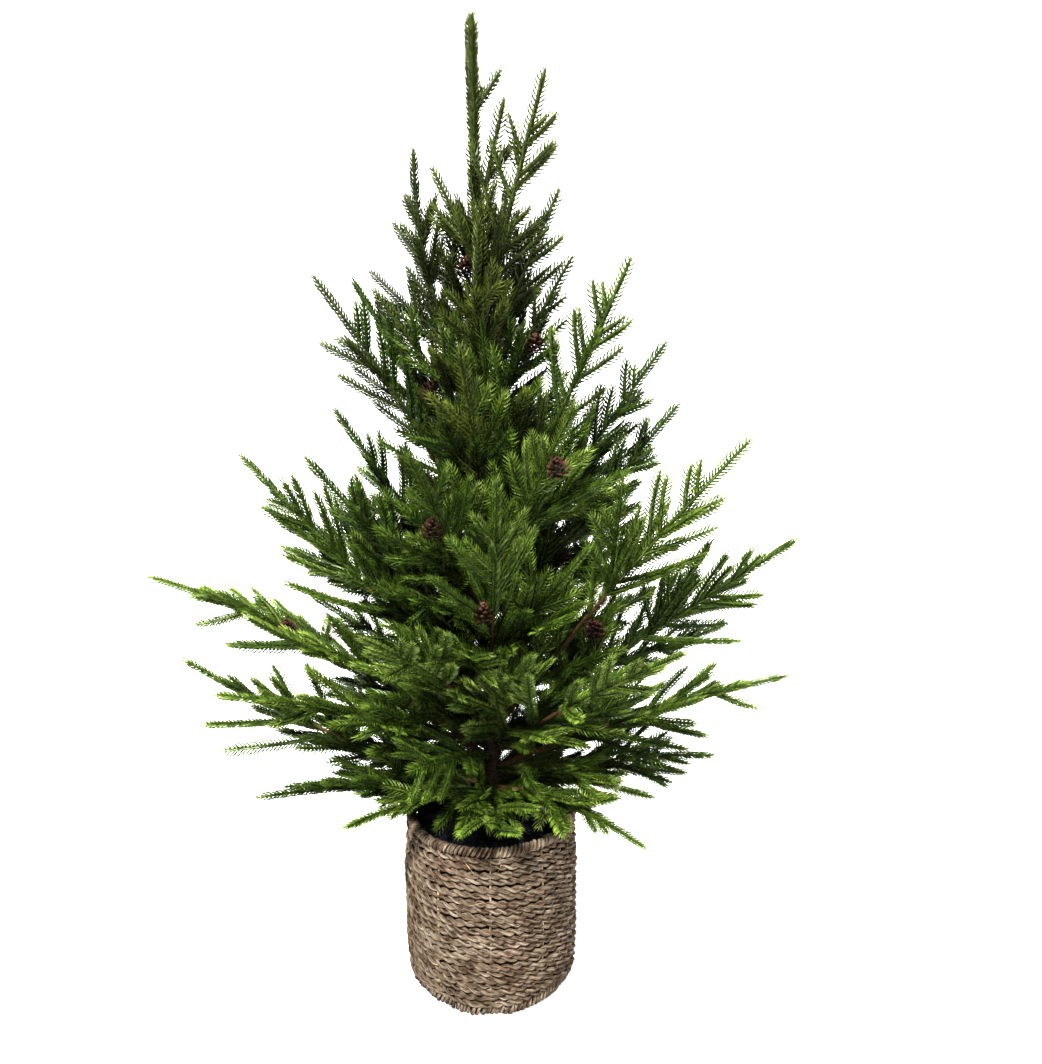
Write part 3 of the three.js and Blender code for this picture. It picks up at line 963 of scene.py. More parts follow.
def newPiece(name, points=(), edges=(), faces=(), attributes=None):
    mesh = bpy.data.meshes.new(name)
    mesh.from_pydata([tuple(point) for point in points], edges, faces)
    for label, values in (attributes or {}).items():
        values = np.array(values, np.float32)
        kind, field = ("FLOAT", "value") if values.ndim == 1 else ("FLOAT_VECTOR", "vector")
        mesh.attributes.new(label, kind, "POINT").data.foreach_set(field, values.ravel())
    piece = bpy.data.objects.new(name, mesh)
    bpy.context.scene.collection.objects.link(piece)
    return piece


def settle(piece, tree, sizes, scratch=()):
    # Runs a tree on a piece with these sizes, and leaves its result as the piece's plain mesh.
    modifier = piece.modifiers.new(tree.name, "NODES")
    modifier.node_group = tree
    for item in tree.interface.items_tree:
        if item.in_out == "INPUT" and item.name in sizes:
            modifier[item.identifier] = sizes[item.name]
    ready = piece.evaluated_get(bpy.context.evaluated_depsgraph_get())
    mesh = bpy.data.meshes.new_from_object(ready)
    piece.modifiers.clear()
    piece.data = mesh
    for label in scratch:
        if label in mesh.attributes:
            mesh.attributes.remove(mesh.attributes[label])
    triangles = sum(len(face.vertices) - 2 for face in mesh.polygons)
    print(piece.name, triangles, "triangles", flush=True)
    return piece


def newLines(name, paths, attributes):
    # A piece of many lines, with each line's own values repeated at its points.
    points, edges, spread = [], [], {label: [] for label in attributes}
    for number, path in enumerate(paths):
        first = len(points)
        points.extend(path * mm)
        edges.extend((first + step, first + step + 1) for step in range(len(path) - 1))
        for label, values in attributes.items():
            value = values[number]
            spread[label].extend(value if label == "thick" else [value] * len(path))
    return newPiece(name, points, edges, attributes=spread)


def circle(radius, height, count):
    angles = [math.tau * step / count for step in range(count)]
    return [(radius * mm * math.cos(angle), radius * mm * math.sin(angle), height * mm) for angle in angles]


def smoothFaces(piece):
    for face in piece.data.polygons:
        face.use_smooth = True


# Helpers for materials.
def newMaterial(name, roughness, specular=0.5, color=None):
    material = bpy.data.materials.new(name)
    material.use_nodes = True
    tree = material.node_tree
    shader = tree.nodes["Principled BSDF"]
    shader.inputs["Roughness"].default_value = roughness
    shader.inputs["Specular IOR Level"].default_value = specular
    if color:
        shader.inputs["Base Color"].default_value = (*color, 1)
        material.diffuse_color = (*color, 1)
    return material, tree, shader


def ramp(tree, value, stops):
    node = addNode(tree, "ShaderNodeValToRGB", {0: value})
    elements = node.color_ramp.elements
    while len(elements) < len(stops):
        elements.new(0.5)
    for element, (place, color) in zip(elements, stops):
        element.position = place
        element.color = (*color, 1)
    return node.outputs[0]


def newShaderGroup(name, inputs, outputs):
    group = bpy.data.node_groups.new(name, "ShaderNodeTree")
    for label, kind, value in inputs:
        socket = group.interface.new_socket(label, in_out="INPUT", socket_type=kind)
        if value is not None:
            socket.default_value = value
    for label, kind in outputs:
        group.interface.new_socket(label, in_out="OUTPUT", socket_type=kind)
    return group, addNode(group, "NodeGroupInput").outputs


def makeFibreGroup():
    # Fine streaks for grain and bumps, and broad patches for worn or stained places.
    group, ins = newShaderGroup(
        "longFibres",
        [
            ("Place", "NodeSocketVector", None),
            ("Streaks", "NodeSocketFloat", 1.0),
            ("Patches", "NodeSocketFloat", 1.0),
        ],
        [("Streak", "NodeSocketFloat"), ("Patch", "NodeSocketFloat")],
    )
    made = {}
    for number, (label, detail) in enumerate((("Streaks", 3.0), ("Patches", 2.0))):
        inputs = {"Vector": ins["Place"], "Scale": ins[label], "Detail": detail}
        made[number] = addNode(group, "ShaderNodeTexNoise", inputs).outputs[0]
    addNode(group, "NodeGroupOutput", made)
    return group


fibreGroup = makeFibreGroup()


def fibresIn(tree, place, streaks, patches):
    inputs = {"Place": place, "Streaks": streaks, "Patches": patches}
    node = addNode(tree, "ShaderNodeGroup", node_tree=fibreGroup)
    for label, value in inputs.items():
        connect(tree, node.inputs[label], value)
    return node.outputs[0], node.outputs[1]


def objectPlace(tree):
    return addNode(tree, "ShaderNodeTexCoord").outputs["Object"]


def attributeOf(tree, name, output="Fac"):
    return addNode(tree, "ShaderNodeAttribute", attribute_name=name).outputs[output]


def bumped(tree, shader, height, strength, distance):
    inputs = {"Height": height, "Strength": strength, "Distance": distance}
    connect(tree, shader.inputs["Normal"], addNode(tree, "ShaderNodeBump", inputs).outputs[0])


def makeGrained(name, finish):
    # Its colour follows streaks, or patches as far as it is patchy. Its relief follows the streaks.
    material, tree, shader = newMaterial(name, finish["roughness"], finish["gloss"])
    streak, patch = fibresIn(tree, objectPlace(tree), finish["streaks"], finish["patches"])
    patchy = product(tree, patch, finish["patchy"])
    blend = calc(tree, "MULTIPLY_ADD", streak, 1 - finish["patchy"], patchy)
    connect(tree, shader.inputs["Base Color"], ramp(tree, blend, finish["tones"]))
    if "relief" in finish:
        bumped(tree, shader, streak, *finish["relief"])
    return material


# Needles, in millimetres and degrees.
needle = {
    "length": 11.9,
    "halfWidth": 1.02,
    "keel": 0.8,
    "bend": 1.0,
    "widest": 0.38,         # share of its length
    "skew": 0.2,            # sets one shoulder further along than the other
    "pitch": 3.6,           # along a twig, from one whorl to the next
    "rows": 6,              # needles in a whorl
    "lean": 47.0,           # degrees from the twig, in the plane of its spray
    "steepLean": 22.0,      # above and below that plane
    "steepLength": 0.55,    # share of the length in the plane
    "tipReach": 9.0,        # from a twig's end, where whorls close
    "tipClosed": 0.5,
    "tintMix": 0.25,        # from whorl to whorl
    "needleMix": 0.85,      # from needle to needle
    "tipTint": 0.75,
    "freshReach": 20.0,     # from a twig's end, where its needles grow lighter
    "nearLine": -85,        # twigs in front of this have finer needles
    "nearSize": 0.8,
    "crownPitch": 4.1,      # in the upper and top tiers, whose needles are stouter
    "crownWidth": 1.15,
}

greens = {
    "needleShade": (0.0048, 0.0130, 0.0013),
    "needleDeep": (0.0130, 0.0285, 0.0027),
    "needlePine": (0.0350, 0.0620, 0.0060),
    "needleLeaf": (0.0740, 0.1130, 0.0135),
    "needleFresh": (0.1380, 0.1860, 0.0380),
    "needleTip": (0.2450, 0.3050, 0.0900),
}

# The crown is more olive.
crownGreens = {
    "crownShade": (0.0068, 0.0104, 0.0022),
    "crownDeep": (0.0168, 0.0238, 0.0040),
    "crownPine": (0.0355, 0.0480, 0.0072),
    "crownLeaf": (0.0660, 0.0840, 0.0135),
    "crownFresh": (0.1180, 0.1430, 0.0270),
    "crownTip": (0.1950, 0.2320, 0.0520),
}

whorlSizes = {
    "Rows": needle["rows"],
    "Length": needle["length"] * mm,
    "Half width": needle["halfWidth"] * mm,
    "Keel": needle["keel"] * mm,
    "Bend": needle["bend"] * mm,
    "Widest": needle["widest"],
    "Skew": needle["skew"],
    "Lean": needle["lean"],
    "Steep lean": needle["steepLean"],
}

needleSizes = {
    **whorlSizes,
    "Pitch": needle["pitch"] * mm,
    "Tip reach": needle["tipReach"] * mm,
    "Tip closed": needle["tipClosed"],
    "Tint mix": needle["tintMix"],
    "Needle mix": needle["needleMix"],
    "Tip tint": needle["tipTint"],
    "Fresh reach": needle["freshReach"] * mm,
    "Seed": 3,
}


def makeNeedleGreens(palette):
    made = []
    for name, color in palette.items():
        material, tree, shader = newMaterial(name, 0.42, 0.25, color)
        inputs = {"Vector": objectPlace(tree), "Scale": 260.0, "Detail": 1.0}
        rough = addNode(tree, "ShaderNodeTexNoise", inputs).outputs[0]
        connect(tree, shader.inputs["Roughness"], mapped(tree, rough, 0.3, 0.7, 0.3, 0.5))
        made.append(material)
    return made


def makeWhorlGroup():
    # One ring of needles, each of four triangles: pointed at both ends, keeled and bent forward.
    tree, ins = newTree("whorlOfNeedles", whorlSizes)
    spike = addNode(tree, "GeometryNodeMeshCone", {
        "Vertices": 3, "Side Segments": 1, "Radius Top": 0.0, "Radius Bottom": 1.0, "Depth": 1.0,
    }).outputs[0]
    x, y, z = split(tree, ownPlace(tree))
    shoulder = calc(tree, "LESS_THAN", x, -0.1)
    widest = calc(tree, "MULTIPLY_ADD", y, ins["Skew"], ins["Widest"])
    height = calc(tree, "MULTIPLY_ADD", shoulder, widest, z)
    sunk = calc(tree, "SUBTRACT", product(tree, z, ins["Bend"]), product(tree, shoulder, ins["Keel"]))
    width, length = product(tree, y, ins["Half width"]), product(tree, height, ins["Length"])
    spike = setPlace(tree, spike, combined(tree, sunk, width, length))
    ring = addNode(tree, "GeometryNodeMeshLine", {"Count": ins["Rows"], "Offset": (0, 0, 0)}).outputs[0]
    index = addNode(tree, "GeometryNodeInputIndex").outputs[0]
    turn = product(tree, calc(tree, "DIVIDE", index, ins["Rows"]), math.tau)
    flat = calc(tree, "ABSOLUTE", calc(tree, "COSINE", turn))
    grown = mapped(tree, flat, 0.0, 1.0, needle["steepLength"], 1.0)
    lean = calc(tree, "RADIANS", mapped(tree, flat, 0.0, 1.0, ins["Steep lean"], ins["Lean"]))
    lean = calc(tree, "ADD", lean, randomBetween(tree, -0.05, 0.05, 2))
    out = calc(tree, "SINE", lean)
    sideways, upright = (product(tree, calc(tree, name, turn), out) for name in ("COSINE", "SINE"))
    heading = combined(tree, sideways, upright, calc(tree, "COSINE", lean))
    rotation = addNode(tree, "FunctionNodeAxesToRotation", {0: heading, 1: (0, 0, 1)}).outputs[0]
    scale = combined(tree, 1.0, 1.0, product(tree, grown, randomBetween(tree, 0.92, 1.06, 3)))
    addNode(tree, "NodeGroupOutput", {0: realized(tree, copies(tree, ring, spike, rotation, scale))})
    return tree


whorlGroup = makeWhorlGroup()


def makeNeedleTree(name, materials):
    # Whorls of needles along each twig, turned to the plane of its spray and closed at its tip.
    tree, ins = newTree(name, needleSizes)
    twig = resampled(tree, ins["Geometry"], "LENGTH", Length=ins["Pitch"])
    length = addNode(tree, "GeometryNodeSplineLength").outputs[0]
    passed = addNode(tree, "GeometryNodeSplineParameter").outputs["Length"]
    left = calc(tree, "SUBTRACT", length, passed)
    along = addNode(tree, "GeometryNodeInputTangent").outputs[0]
    spread = named(tree, "spread", "FLOAT_VECTOR")
    across = vectorCalc(tree, "CROSS_PRODUCT", along, spread)
    lopsided = vectorCalc(tree, "SCALE", across, randomBetween(tree, -0.16, 0.16, 5))
    axes = {0: along, 1: vectorCalc(tree, "ADD", spread, lopsided)}
    rotation = addNode(tree, "FunctionNodeAxesToRotation", axes).outputs[0]
    jitter = product(tree, randomBetween(tree, -1.0, 1.0, 9), ins["Tint mix"])
    fresh = mapped(tree, left, 0.0, ins["Fresh reach"], ins["Tip tint"], 0.0)
    tint = calc(tree, "ADD", calc(tree, "ADD", named(tree, "tint"), jitter), fresh)
    twig = stored(tree, twig, "tint", tint)
    whorl = addNode(tree, "GeometryNodeGroup", node_tree=whorlGroup)
    for label in whorlSizes:
        connect(tree, whorl.inputs[label], ins[label])
    grown = randomBetween(tree, 0.92, 1.06, ins["Seed"])
    opened = mapped(tree, left, 0.0, ins["Tip reach"], 0.0, 1.0)
    closed = product(tree, grown, mapped(tree, opened, 0.0, 1.0, ins["Tip closed"], 1.0))
    size = combined(tree, closed, closed, grown)
    whole = realized(tree, copies(tree, twig, whorl.outputs[0], rotation, size))
    # Each needle has four faces, which share one tint.
    index = addNode(tree, "GeometryNodeInputIndex").outputs[0]
    number = calc(tree, "FLOOR", calc(tree, "DIVIDE", index, 4.0))
    own = addNode(tree, "FunctionNodeRandomValue", {2: -1.0, 3: 1.0, "ID": number, "Seed": 21}).outputs[1]
    mixed = calc(tree, "MULTIPLY_ADD", own, ins["Needle mix"], named(tree, "tint"))
    endTree(tree, stored(tree, whole, "tint", mixed, domain="FACE"), materials, smooth=False)
    return tree


def makeNeedles():
    green = makeNeedleTree("needlesOnTwigs", makeNeedleGreens(greens))
    olive = makeNeedleTree("needlesOnCrownTwigs", makeNeedleGreens(crownGreens))
    small = ("Length", "Half width", "Keel", "Bend", "Pitch")
    slimmer = {label: needleSizes[label] * needle["nearSize"] for label in small}
    stouter = {"Pitch": needle["crownPitch"] * mm, "Half width": needle["crownWidth"] * mm}
    for tier in tiers:
        own = [twig for twig in twigs if twig["tier"] == tier]
        depths = [twig["points"][:, 1].mean() for twig in own]
        near = [twig for twig, depth in zip(own, depths) if depth < needle["nearLine"]]
        rest = [twig for twig, depth in zip(own, depths) if depth >= needle["nearLine"]]
        for number, batch in enumerate((rest[::2], rest[1::2], near)):
            if not batch:
                continue
            change = slimmer if number == 2 else stouter if tier in ("upper", "top") else {}
            values = {label: [twig[label] for twig in batch] for label in ("spread", "tint")}
            name = "needles" + tier.capitalize() + "ABC"[number]
            piece = newLines(name, [twig["points"] for twig in batch], values)
            tree = olive if tier == "top" or (tier == "upper" and number == 1) else green
            settle(piece, tree, {**needleSizes, **change, "Seed": 3 + number}, ("spread", "tint"))
            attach(piece, "root")
            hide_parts(*("spray_" + bough["name"] for bough in boughs if bough["tier"] == tier))


makeNeedles()

# Bark of the trunk, boughs and twigs.
bark = {
    "relief": 0.55,
    "reliefScale": 210.0,
    "wrapPitch": 6.0,
    "wrapDepth": 0.25,
    "sides": 12,
    "step": 2.4,
    "trunkPoints": 60,
    "trunkTip": 0.7,
    "taperReach": 50,       # above the height where the trunk carries needles
    "boughRoot": 3.2,
    "stemRoot": 2.3,        # of boughs with needles from their foot
    "boughTip": 1.2,
    "boughPoints": 14,
    "twigRoot": 2.1,
    "twigTip": 1.3,
}

limbSizes = {
    "Step": bark["step"] * mm,
    "Sides": bark["sides"],
    "Relief": bark["relief"] * mm,
    "Relief scale": bark["reliefScale"],
    "Wrap pitch": bark["wrapPitch"] * mm,
    "Wrap depth": bark["wrapDepth"] * mm,
}
boughSizes = {**limbSizes, "Sides": 8, "Step": 3 * mm}
twigSizes = {**limbSizes, "Sides": 5, "Step": 9 * mm, "Relief": 0.1 * mm, "Wrap depth": 0.0}
limbScratch = ("thick", "passed", "around")

# Tones run from the bottom of the grain to its worn ridges.
barkGrain = {"roughness": 0.85, "gloss": 0.3, "streaks": 420.0, "patches": 60.0, "patchy": 0.45,
             "relief": (0.6, 0.0006)}
barkFinishes = {
    "wrappedBark": {**barkGrain, "tones": [
        (0.28, (0.012, 0.007, 0.004)), (0.5, (0.038, 0.022, 0.013)), (0.72, (0.12, 0.075, 0.042)),
    ]},
    "paperBark": {**barkGrain, "tones": [
        (0.28, (0.022, 0.012, 0.005)), (0.5, (0.085, 0.045, 0.017)), (0.72, (0.200, 0.115, 0.045)),
    ]},
    "twigBark": {**barkGrain, "roughness": 0.7, "tones": [
        (0.28, (0.010, 0.018, 0.003)), (0.5, (0.026, 0.044, 0.006)), (0.72, (0.060, 0.080, 0.012)),
    ]},
}


def makeLimbTree(name, material, sizes):
    # A tube along each line, as thick as its attribute, with rough and spiral relief.
    tree, ins = newTree(name, sizes)
    line = resampled(tree, ins["Geometry"], "LENGTH", Length=ins["Step"])
    line = stored(tree, line, "passed", addNode(tree, "GeometryNodeSplineParameter").outputs["Length"])
    around = product(tree, addNode(tree, "GeometryNodeSplineParameter").outputs[0], math.tau)
    profile = stored(tree, roundProfile(tree, ins["Sides"]), "around", around)
    tube = swept(tree, line, profile, named(tree, "thick"))
    rough = noiseAt(tree, ownPlace(tree), ins["Relief scale"], 3.0)
    wrap = calc(tree, "DIVIDE", named(tree, "passed"), ins["Wrap pitch"])
    wrap = calc(tree, "SINE", calc(tree, "MULTIPLY_ADD", wrap, math.tau, named(tree, "around")))
    height = calc(tree, "MULTIPLY_ADD", wrap, ins["Wrap depth"], product(tree, rough, ins["Relief"]))
    normal = addNode(tree, "GeometryNodeInputNormal").outputs[0]
    endTree(tree, moved(tree, tube, vectorCalc(tree, "SCALE", normal, height)), [material])
    return tree


def radiiAlong(count, root, tip):
    return np.linspace(root, tip, count) * mm


def makeTrunkBark():
    shares = np.linspace(0, 1, bark["trunkPoints"])
    heights = trunk["foot"] + shares * (trunk["top"] - trunk["foot"])
    taper = [trunkTop["needles"], trunkTop["needles"] + bark["taperReach"]]
    thick = [np.interp(height, taper, [trunkRadius(share), bark["trunkTip"]]) * mm
             for share, height in zip(shares, heights)]
    path = np.array([trunkPoint(height) for height in heights])
    tree = makeLimbTree("barkedLimbs", makeGrained("wrappedBark", barkFinishes["wrappedBark"]), limbSizes)
    piece = settle(newLines("trunkBark", [path], {"thick": [thick]}), tree, limbSizes, limbScratch)
    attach(piece, "root")
    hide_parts("trunk")


def makeBoughBark():
    paths, thick = [], []
    for bough in boughs:
        if bough["name"] == "leader":
            continue
        shares = np.linspace(0, bough["wooded"], bark["boughPoints"])
        paths.append(np.array([bough["curve"].pointAt(share) for share in shares]))
        root = bark["boughRoot"] if bough["bare"] else bark["stemRoot"] * bough["size"]
        thick.append(radiiAlong(len(shares), root, bark["boughTip"] * bough["size"]))
    tree = makeLimbTree("barkedBoughs", makeGrained("paperBark", barkFinishes["paperBark"]), boughSizes)
    piece = settle(newLines("boughBark", paths, {"thick": thick}), tree, boughSizes, limbScratch)
    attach(piece, "root")
    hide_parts(*("bough_" + bough["name"] for bough in boughs if bough["bare"]))


def makeTwigWood():
    paths = [twig["points"] for twig in twigs if twig["kind"] != "again"]
    thick = [radiiAlong(len(path), bark["twigRoot"], bark["twigTip"]) for path in paths]
    tree = makeLimbTree("plainTwigs", makeGrained("twigBark", barkFinishes["twigBark"]), twigSizes)
    piece = settle(newLines("twigWood", paths, {"thick": thick}), tree, twigSizes, limbScratch)
    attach(piece, "root")


makeTrunkBark()
makeBoughBark()
makeTwigWood()

# The basket of twisted cords.
cords = {
    "rows": 22,
    "firstRow": 14.0,
    "lastRow": 158.0,
    "inset": 1.6,           # from the wall's face, besides the ply's own radius
    "plyRadius": 1.76,
    "helixRadius": 1.65,
    "twistsRound": 25,
    "stakes": 10,
    "weaveDepth": 0.9,
    "weaveTurn": 271.3,     # degrees
    "samples": 400,
    "sides": 7,
    "unevenness": 1.9,
    "sag": 1.5,
}
floorCoil = {"height": 4.0, "first": 6, "last": 74, "pitch": 7.3, "samples": 150, "twists": 20.0}
bands = {
    "rimWraps": {
        "height": 165.6, "radius": 80.7, "wide": 3.1, "tall": 3.1, "wraps": 64, "strand": 1.8, "ragged": 0.42,
    },
    "footWraps": {
        "height": 7.2, "radius": 78.0, "wide": 3.2, "tall": 4.4, "wraps": 58, "strand": 1.75, "ragged": 0.75,
    },
}
bandSteps = 18              # along the strand, for each wrap
stakes = {"radius": 1.0, "inset": 2.6, "from": 6, "to": 166, "points": 24}
strayFibres = {"seed": 23, "count": 70, "longest": 19, "thick": 0.32, "tip": 0.08}
# A dark sheet just inside the cords, at these depths from the wall's face: painted shade, seen through the
# gaps between the rows.
lining = {"outside": 9.6, "inside": 11.2, "heights": (10, 30, 60, 90, 120, 150, 163)}

cordSizes = {
    "Samples": cords["samples"],
    "Sides": cords["sides"],
    "Ply radius": cords["plyRadius"] * mm,
    "Helix radius": cords["helixRadius"] * mm,
    "Twists": float(cords["twistsRound"]),
    "Weave depth": cords["weaveDepth"] * mm,
    "Stakes": float(cords["stakes"]),
    "Weave turn": math.radians(cords["weaveTurn"]),
    "Warp": cords["unevenness"] * mm,
    "Sag": cords["sag"] * mm,
}
floorSizes = {
    **cordSizes, "Samples": floorCoil["samples"], "Twists": floorCoil["twists"],
    "Weave depth": 0.0, "Warp": 0.0, "Sag": 0.0,
}
stakeSizes = {
    "Step": 4 * mm, "Sides": 6, "Relief": 0.12 * mm, "Relief scale": 300.0,
    "Wrap pitch": 10 * mm, "Wrap depth": 0.0,
}
straySizes = {**stakeSizes, "Sides": 4, "Relief": 0.0}

# Scales of the seagrass: streaks along a strand, specks, stains, and patches that turn russet.
fibre = {"section": 2.6, "stretch": 34.0, "streaks": 1.5, "specks": 150.0, "stains": 46.0, "russet": 13.0}
seagrassTones = [
    (0.36, (0.014, 0.0065, 0.003)), (0.44, (0.070, 0.045, 0.028)), (0.53, (0.163, 0.128, 0.092)),
    (0.64, (0.335, 0.290, 0.235)),
]
russetTones = [(0.36, (0.017, 0.008, 0.006)), (0.47, (0.088, 0.050, 0.036)), (0.62, (0.290, 0.190, 0.138))]
strawFinish = {
    "roughness": 0.7, "gloss": 0.3, "streaks": 300.0, "patches": 40.0, "patchy": 0.0,
    "relief": (0.4, 0.0005),
    "tones": [(0.35, (0.20, 0.14, 0.08)), (0.6, (0.46, 0.36, 0.23))],
}
# Dark brown tones of that sheet, which stand for the shade between the rows.
shadeLiningFinish = {
    "roughness": 0.95, "gloss": 0.1, "streaks": 500.0, "patches": 60.0, "patchy": 1.0,
    "tones": [(0.3, (0.014, 0.008, 0.005)), (0.7, (0.050, 0.032, 0.019))],
}

# How far the hand work wanders. Scales are those of the noise that moves it.
handWork = {
    "roundScale": 16.0,
    "outOfRound": (3.2, 3.2, 2.2),
    "twistScale": 45.0,
    "twistDrift": 0.7,
    "twistShift": 1.9,      # from row to row
    "sagScale": 32.0,
    "sagShift": 0.7,
    "wrapScale": 70.0,
    "wrapDrift": 2.4,
    "raggedScale": 110.0,
    "swellScale": 170.0,
    "thinnest": 0.72,
    "thickest": 1.22,
}


def makeSeagrass():
    material, tree, shader = newMaterial("twistedSeagrass", 0.78, 0.1)
    along, section = attributeOf(tree, "along"), attributeOf(tree, "section", "Vector")
    lengthways = combined(tree, product(tree, along, fibre["stretch"]), 0.0, along)
    strand = vectorCalc(tree, "ADD", vectorCalc(tree, "SCALE", section, fibre["section"]), lengthways)
    streak, _ = fibresIn(tree, strand, fibre["streaks"], 1.0)
    speck, stain = fibresIn(tree, objectPlace(tree), fibre["specks"], fibre["stains"])
    _, blotch = fibresIn(tree, objectPlace(tree), 90.0, fibre["russet"])
    blend = calc(tree, "MULTIPLY_ADD", speck, 0.26, product(tree, stain, 0.18))
    blend = calc(tree, "MULTIPLY_ADD", streak, 0.56, blend)
    share = mapped(tree, blotch, 0.56, 0.72, 0.0, 0.38)
    colors = {0: share, 6: ramp(tree, blend, seagrassTones), 7: ramp(tree, blend, russetTones)}
    mix = addNode(tree, "ShaderNodeMix", colors, data_type="RGBA")
    connect(tree, shader.inputs["Base Color"], mix.outputs[2])
    bumped(tree, shader, streak, 0.7, 0.0007)
    material.diffuse_color = (0.36, 0.27, 0.18, 1)
    return material


def warpedByHand(tree, geometry, amount):
    # The basket is a little out of round, and its rows wander.
    inputs = {"Vector": ownPlace(tree), "Scale": handWork["roundScale"], "Detail": 1.0}
    noise = addNode(tree, "ShaderNodeTexNoise", inputs).outputs["Color"]
    drift = vectorCalc(tree, "SUBTRACT", noise, (0.5, 0.5, 0.5))
    drift = vectorCalc(tree, "SCALE", drift, amount)
    return moved(tree, geometry, vectorCalc(tree, "MULTIPLY", drift, handWork["outOfRound"]))


def strandAlong(tree, curve, sides, radius, seed):
    # Sweeps a strand along a curve, with its length and its round section kept for the fibres.
    passed = addNode(tree, "GeometryNodeSplineParameter").outputs["Length"]
    start = calc(tree, "ADD", product(tree, named(tree, "row"), 3.7), seed)
    curve = stored(tree, curve, "along", calc(tree, "ADD", passed, start))
    profile = roundProfile(tree, sides)
    profile = stored(tree, profile, "section", ownPlace(tree), data_type="FLOAT_VECTOR")
    swell = noiseAt(tree, ownPlace(tree), handWork["swellScale"], 1.0)
    swell = mapped(tree, swell, -0.5, 0.5, handWork["thinnest"], handWork["thickest"])
    return swept(tree, curve, profile, product(tree, radius, swell))


def ringParts(tree, ins):
    # A resampled ring, the place of its points, their turn round the basket and the way outwards.
    ring = resampled(tree, ins["Geometry"], "COUNT", Count=ins["Samples"])
    place = ownPlace(tree)
    x, y, _ = split(tree, place)
    return ring, place, calc(tree, "ARCTAN2", y, x), vectorCalc(tree, "NORMALIZE", combined(tree, x, y, 0.0))


def raisedBy(tree, place, lift):
    return vectorCalc(tree, "ADD", place, combined(tree, 0.0, 0.0, lift))


def makeCordTree(material):
    # Two plies twisted round each row, and each row woven in front of and behind the stakes.
    tree, ins = newTree("wovenCords", cordSizes)
    ring, place, turn, outward = ringParts(tree, ins)
    row = named(tree, "row")
    beat = calc(tree, "SUBTRACT", turn, ins["Weave turn"])
    beat = product(tree, beat, calc(tree, "DIVIDE", ins["Stakes"], 2.0))
    beat = calc(tree, "COSINE", calc(tree, "MULTIPLY_ADD", row, math.pi, beat))
    weave = product(tree, beat, ins["Weave depth"])
    uneven = noiseAt(tree, raisedBy(tree, place, row), handWork["twistScale"], 1.0)
    sagPlace = raisedBy(tree, place, product(tree, row, handWork["sagShift"]))
    sag = noiseAt(tree, sagPlace, handWork["sagScale"], 1.0)
    plies = []
    for ply in range(2):
        twist = calc(tree, "MULTIPLY_ADD", product(tree, turn, ins["Twists"]), -1.0, ply * math.pi)
        twist = calc(tree, "MULTIPLY_ADD", row, handWork["twistShift"], twist)
        twist = calc(tree, "MULTIPLY_ADD", uneven, handWork["twistDrift"], twist)
        push = calc(tree, "MULTIPLY_ADD", calc(tree, "COSINE", twist), ins["Helix radius"], weave)
        lift = product(tree, calc(tree, "SINE", twist), ins["Helix radius"])
        lift = calc(tree, "MULTIPLY_ADD", sag, ins["Sag"], lift)
        curve = moved(tree, ring, raisedBy(tree, vectorCalc(tree, "SCALE", outward, push), lift))
        plies.append(strandAlong(tree, curve, ins["Sides"], ins["Ply radius"], ply * 1.3))
    endTree(tree, warpedByHand(tree, joined(tree, plies), ins["Warp"]), [material])
    return tree


def bandSizes(band):
    return {
        "Samples": band["wraps"] * bandSteps,
        "Sides": 6,
        "Wide": band["wide"] * mm,
        "Tall": band["tall"] * mm,
        "Wraps": float(band["wraps"]),
        "Strand": band["strand"] * mm,
        "Warp": cords["unevenness"] * mm,
        "Raggedness": band["ragged"],
    }


def makeBandTree(material):
    # One strand wrapped round and round the rim or the foot.
    tree, ins = newTree("wrappedBand", bandSizes(bands["rimWraps"]))
    ring, place, turn, outward = ringParts(tree, ins)
    uneven = noiseAt(tree, place, handWork["raggedScale"], 1.0)
    swell = calc(tree, "MULTIPLY_ADD", uneven, ins["Raggedness"], 1.0)
    phase = product(tree, noiseAt(tree, place, handWork["wrapScale"], 1.0), handWork["wrapDrift"])
    phase = calc(tree, "MULTIPLY_ADD", turn, ins["Wraps"], phase)
    phase = calc(tree, "MULTIPLY_ADD", named(tree, "row"), math.pi, phase)
    push = product(tree, product(tree, calc(tree, "COSINE", phase), ins["Wide"]), swell)
    lift = product(tree, product(tree, calc(tree, "SINE", phase), ins["Tall"]), swell)
    curve = moved(tree, ring, raisedBy(tree, vectorCalc(tree, "SCALE", outward, push), lift))
    strand = strandAlong(tree, curve, ins["Sides"], ins["Strand"], 5.0)
    endTree(tree, warpedByHand(tree, strand, ins["Warp"]), [material])
    return tree


def newRings(name, rings, count=120):
    # A piece of closed rings of (radius, height), each with its row number.
    points, edges, rows = [], [], []
    for number, (radius, height) in enumerate(rings):
        first = len(points)
        points += circle(radius, height, count)
        edges += [(first + step, first + (step + 1) % count) for step in range(count)]
        rows += [float(number)] * count
    return newPiece(name, points, edges, attributes={"row": rows})


def turnedShell(name, profile, count=96):
    # A closed ring of faces turned from an outline of (radius, height), anticlockwise as seen on +X.
    rings = [circle(radius, height, count) for radius, height in profile]
    points = [ring[step] for step in range(count) for ring in rings]
    faces, size = [], len(profile)
    for step in range(count):
        here, after = step * size, (step + 1) % count * size
        for index in range(size):
            following = (index + 1) % size
            faces.append((here + index, after + index, after + following, here + following))
    piece = newPiece(name, points, faces=faces)
    smoothFaces(piece)
    return piece


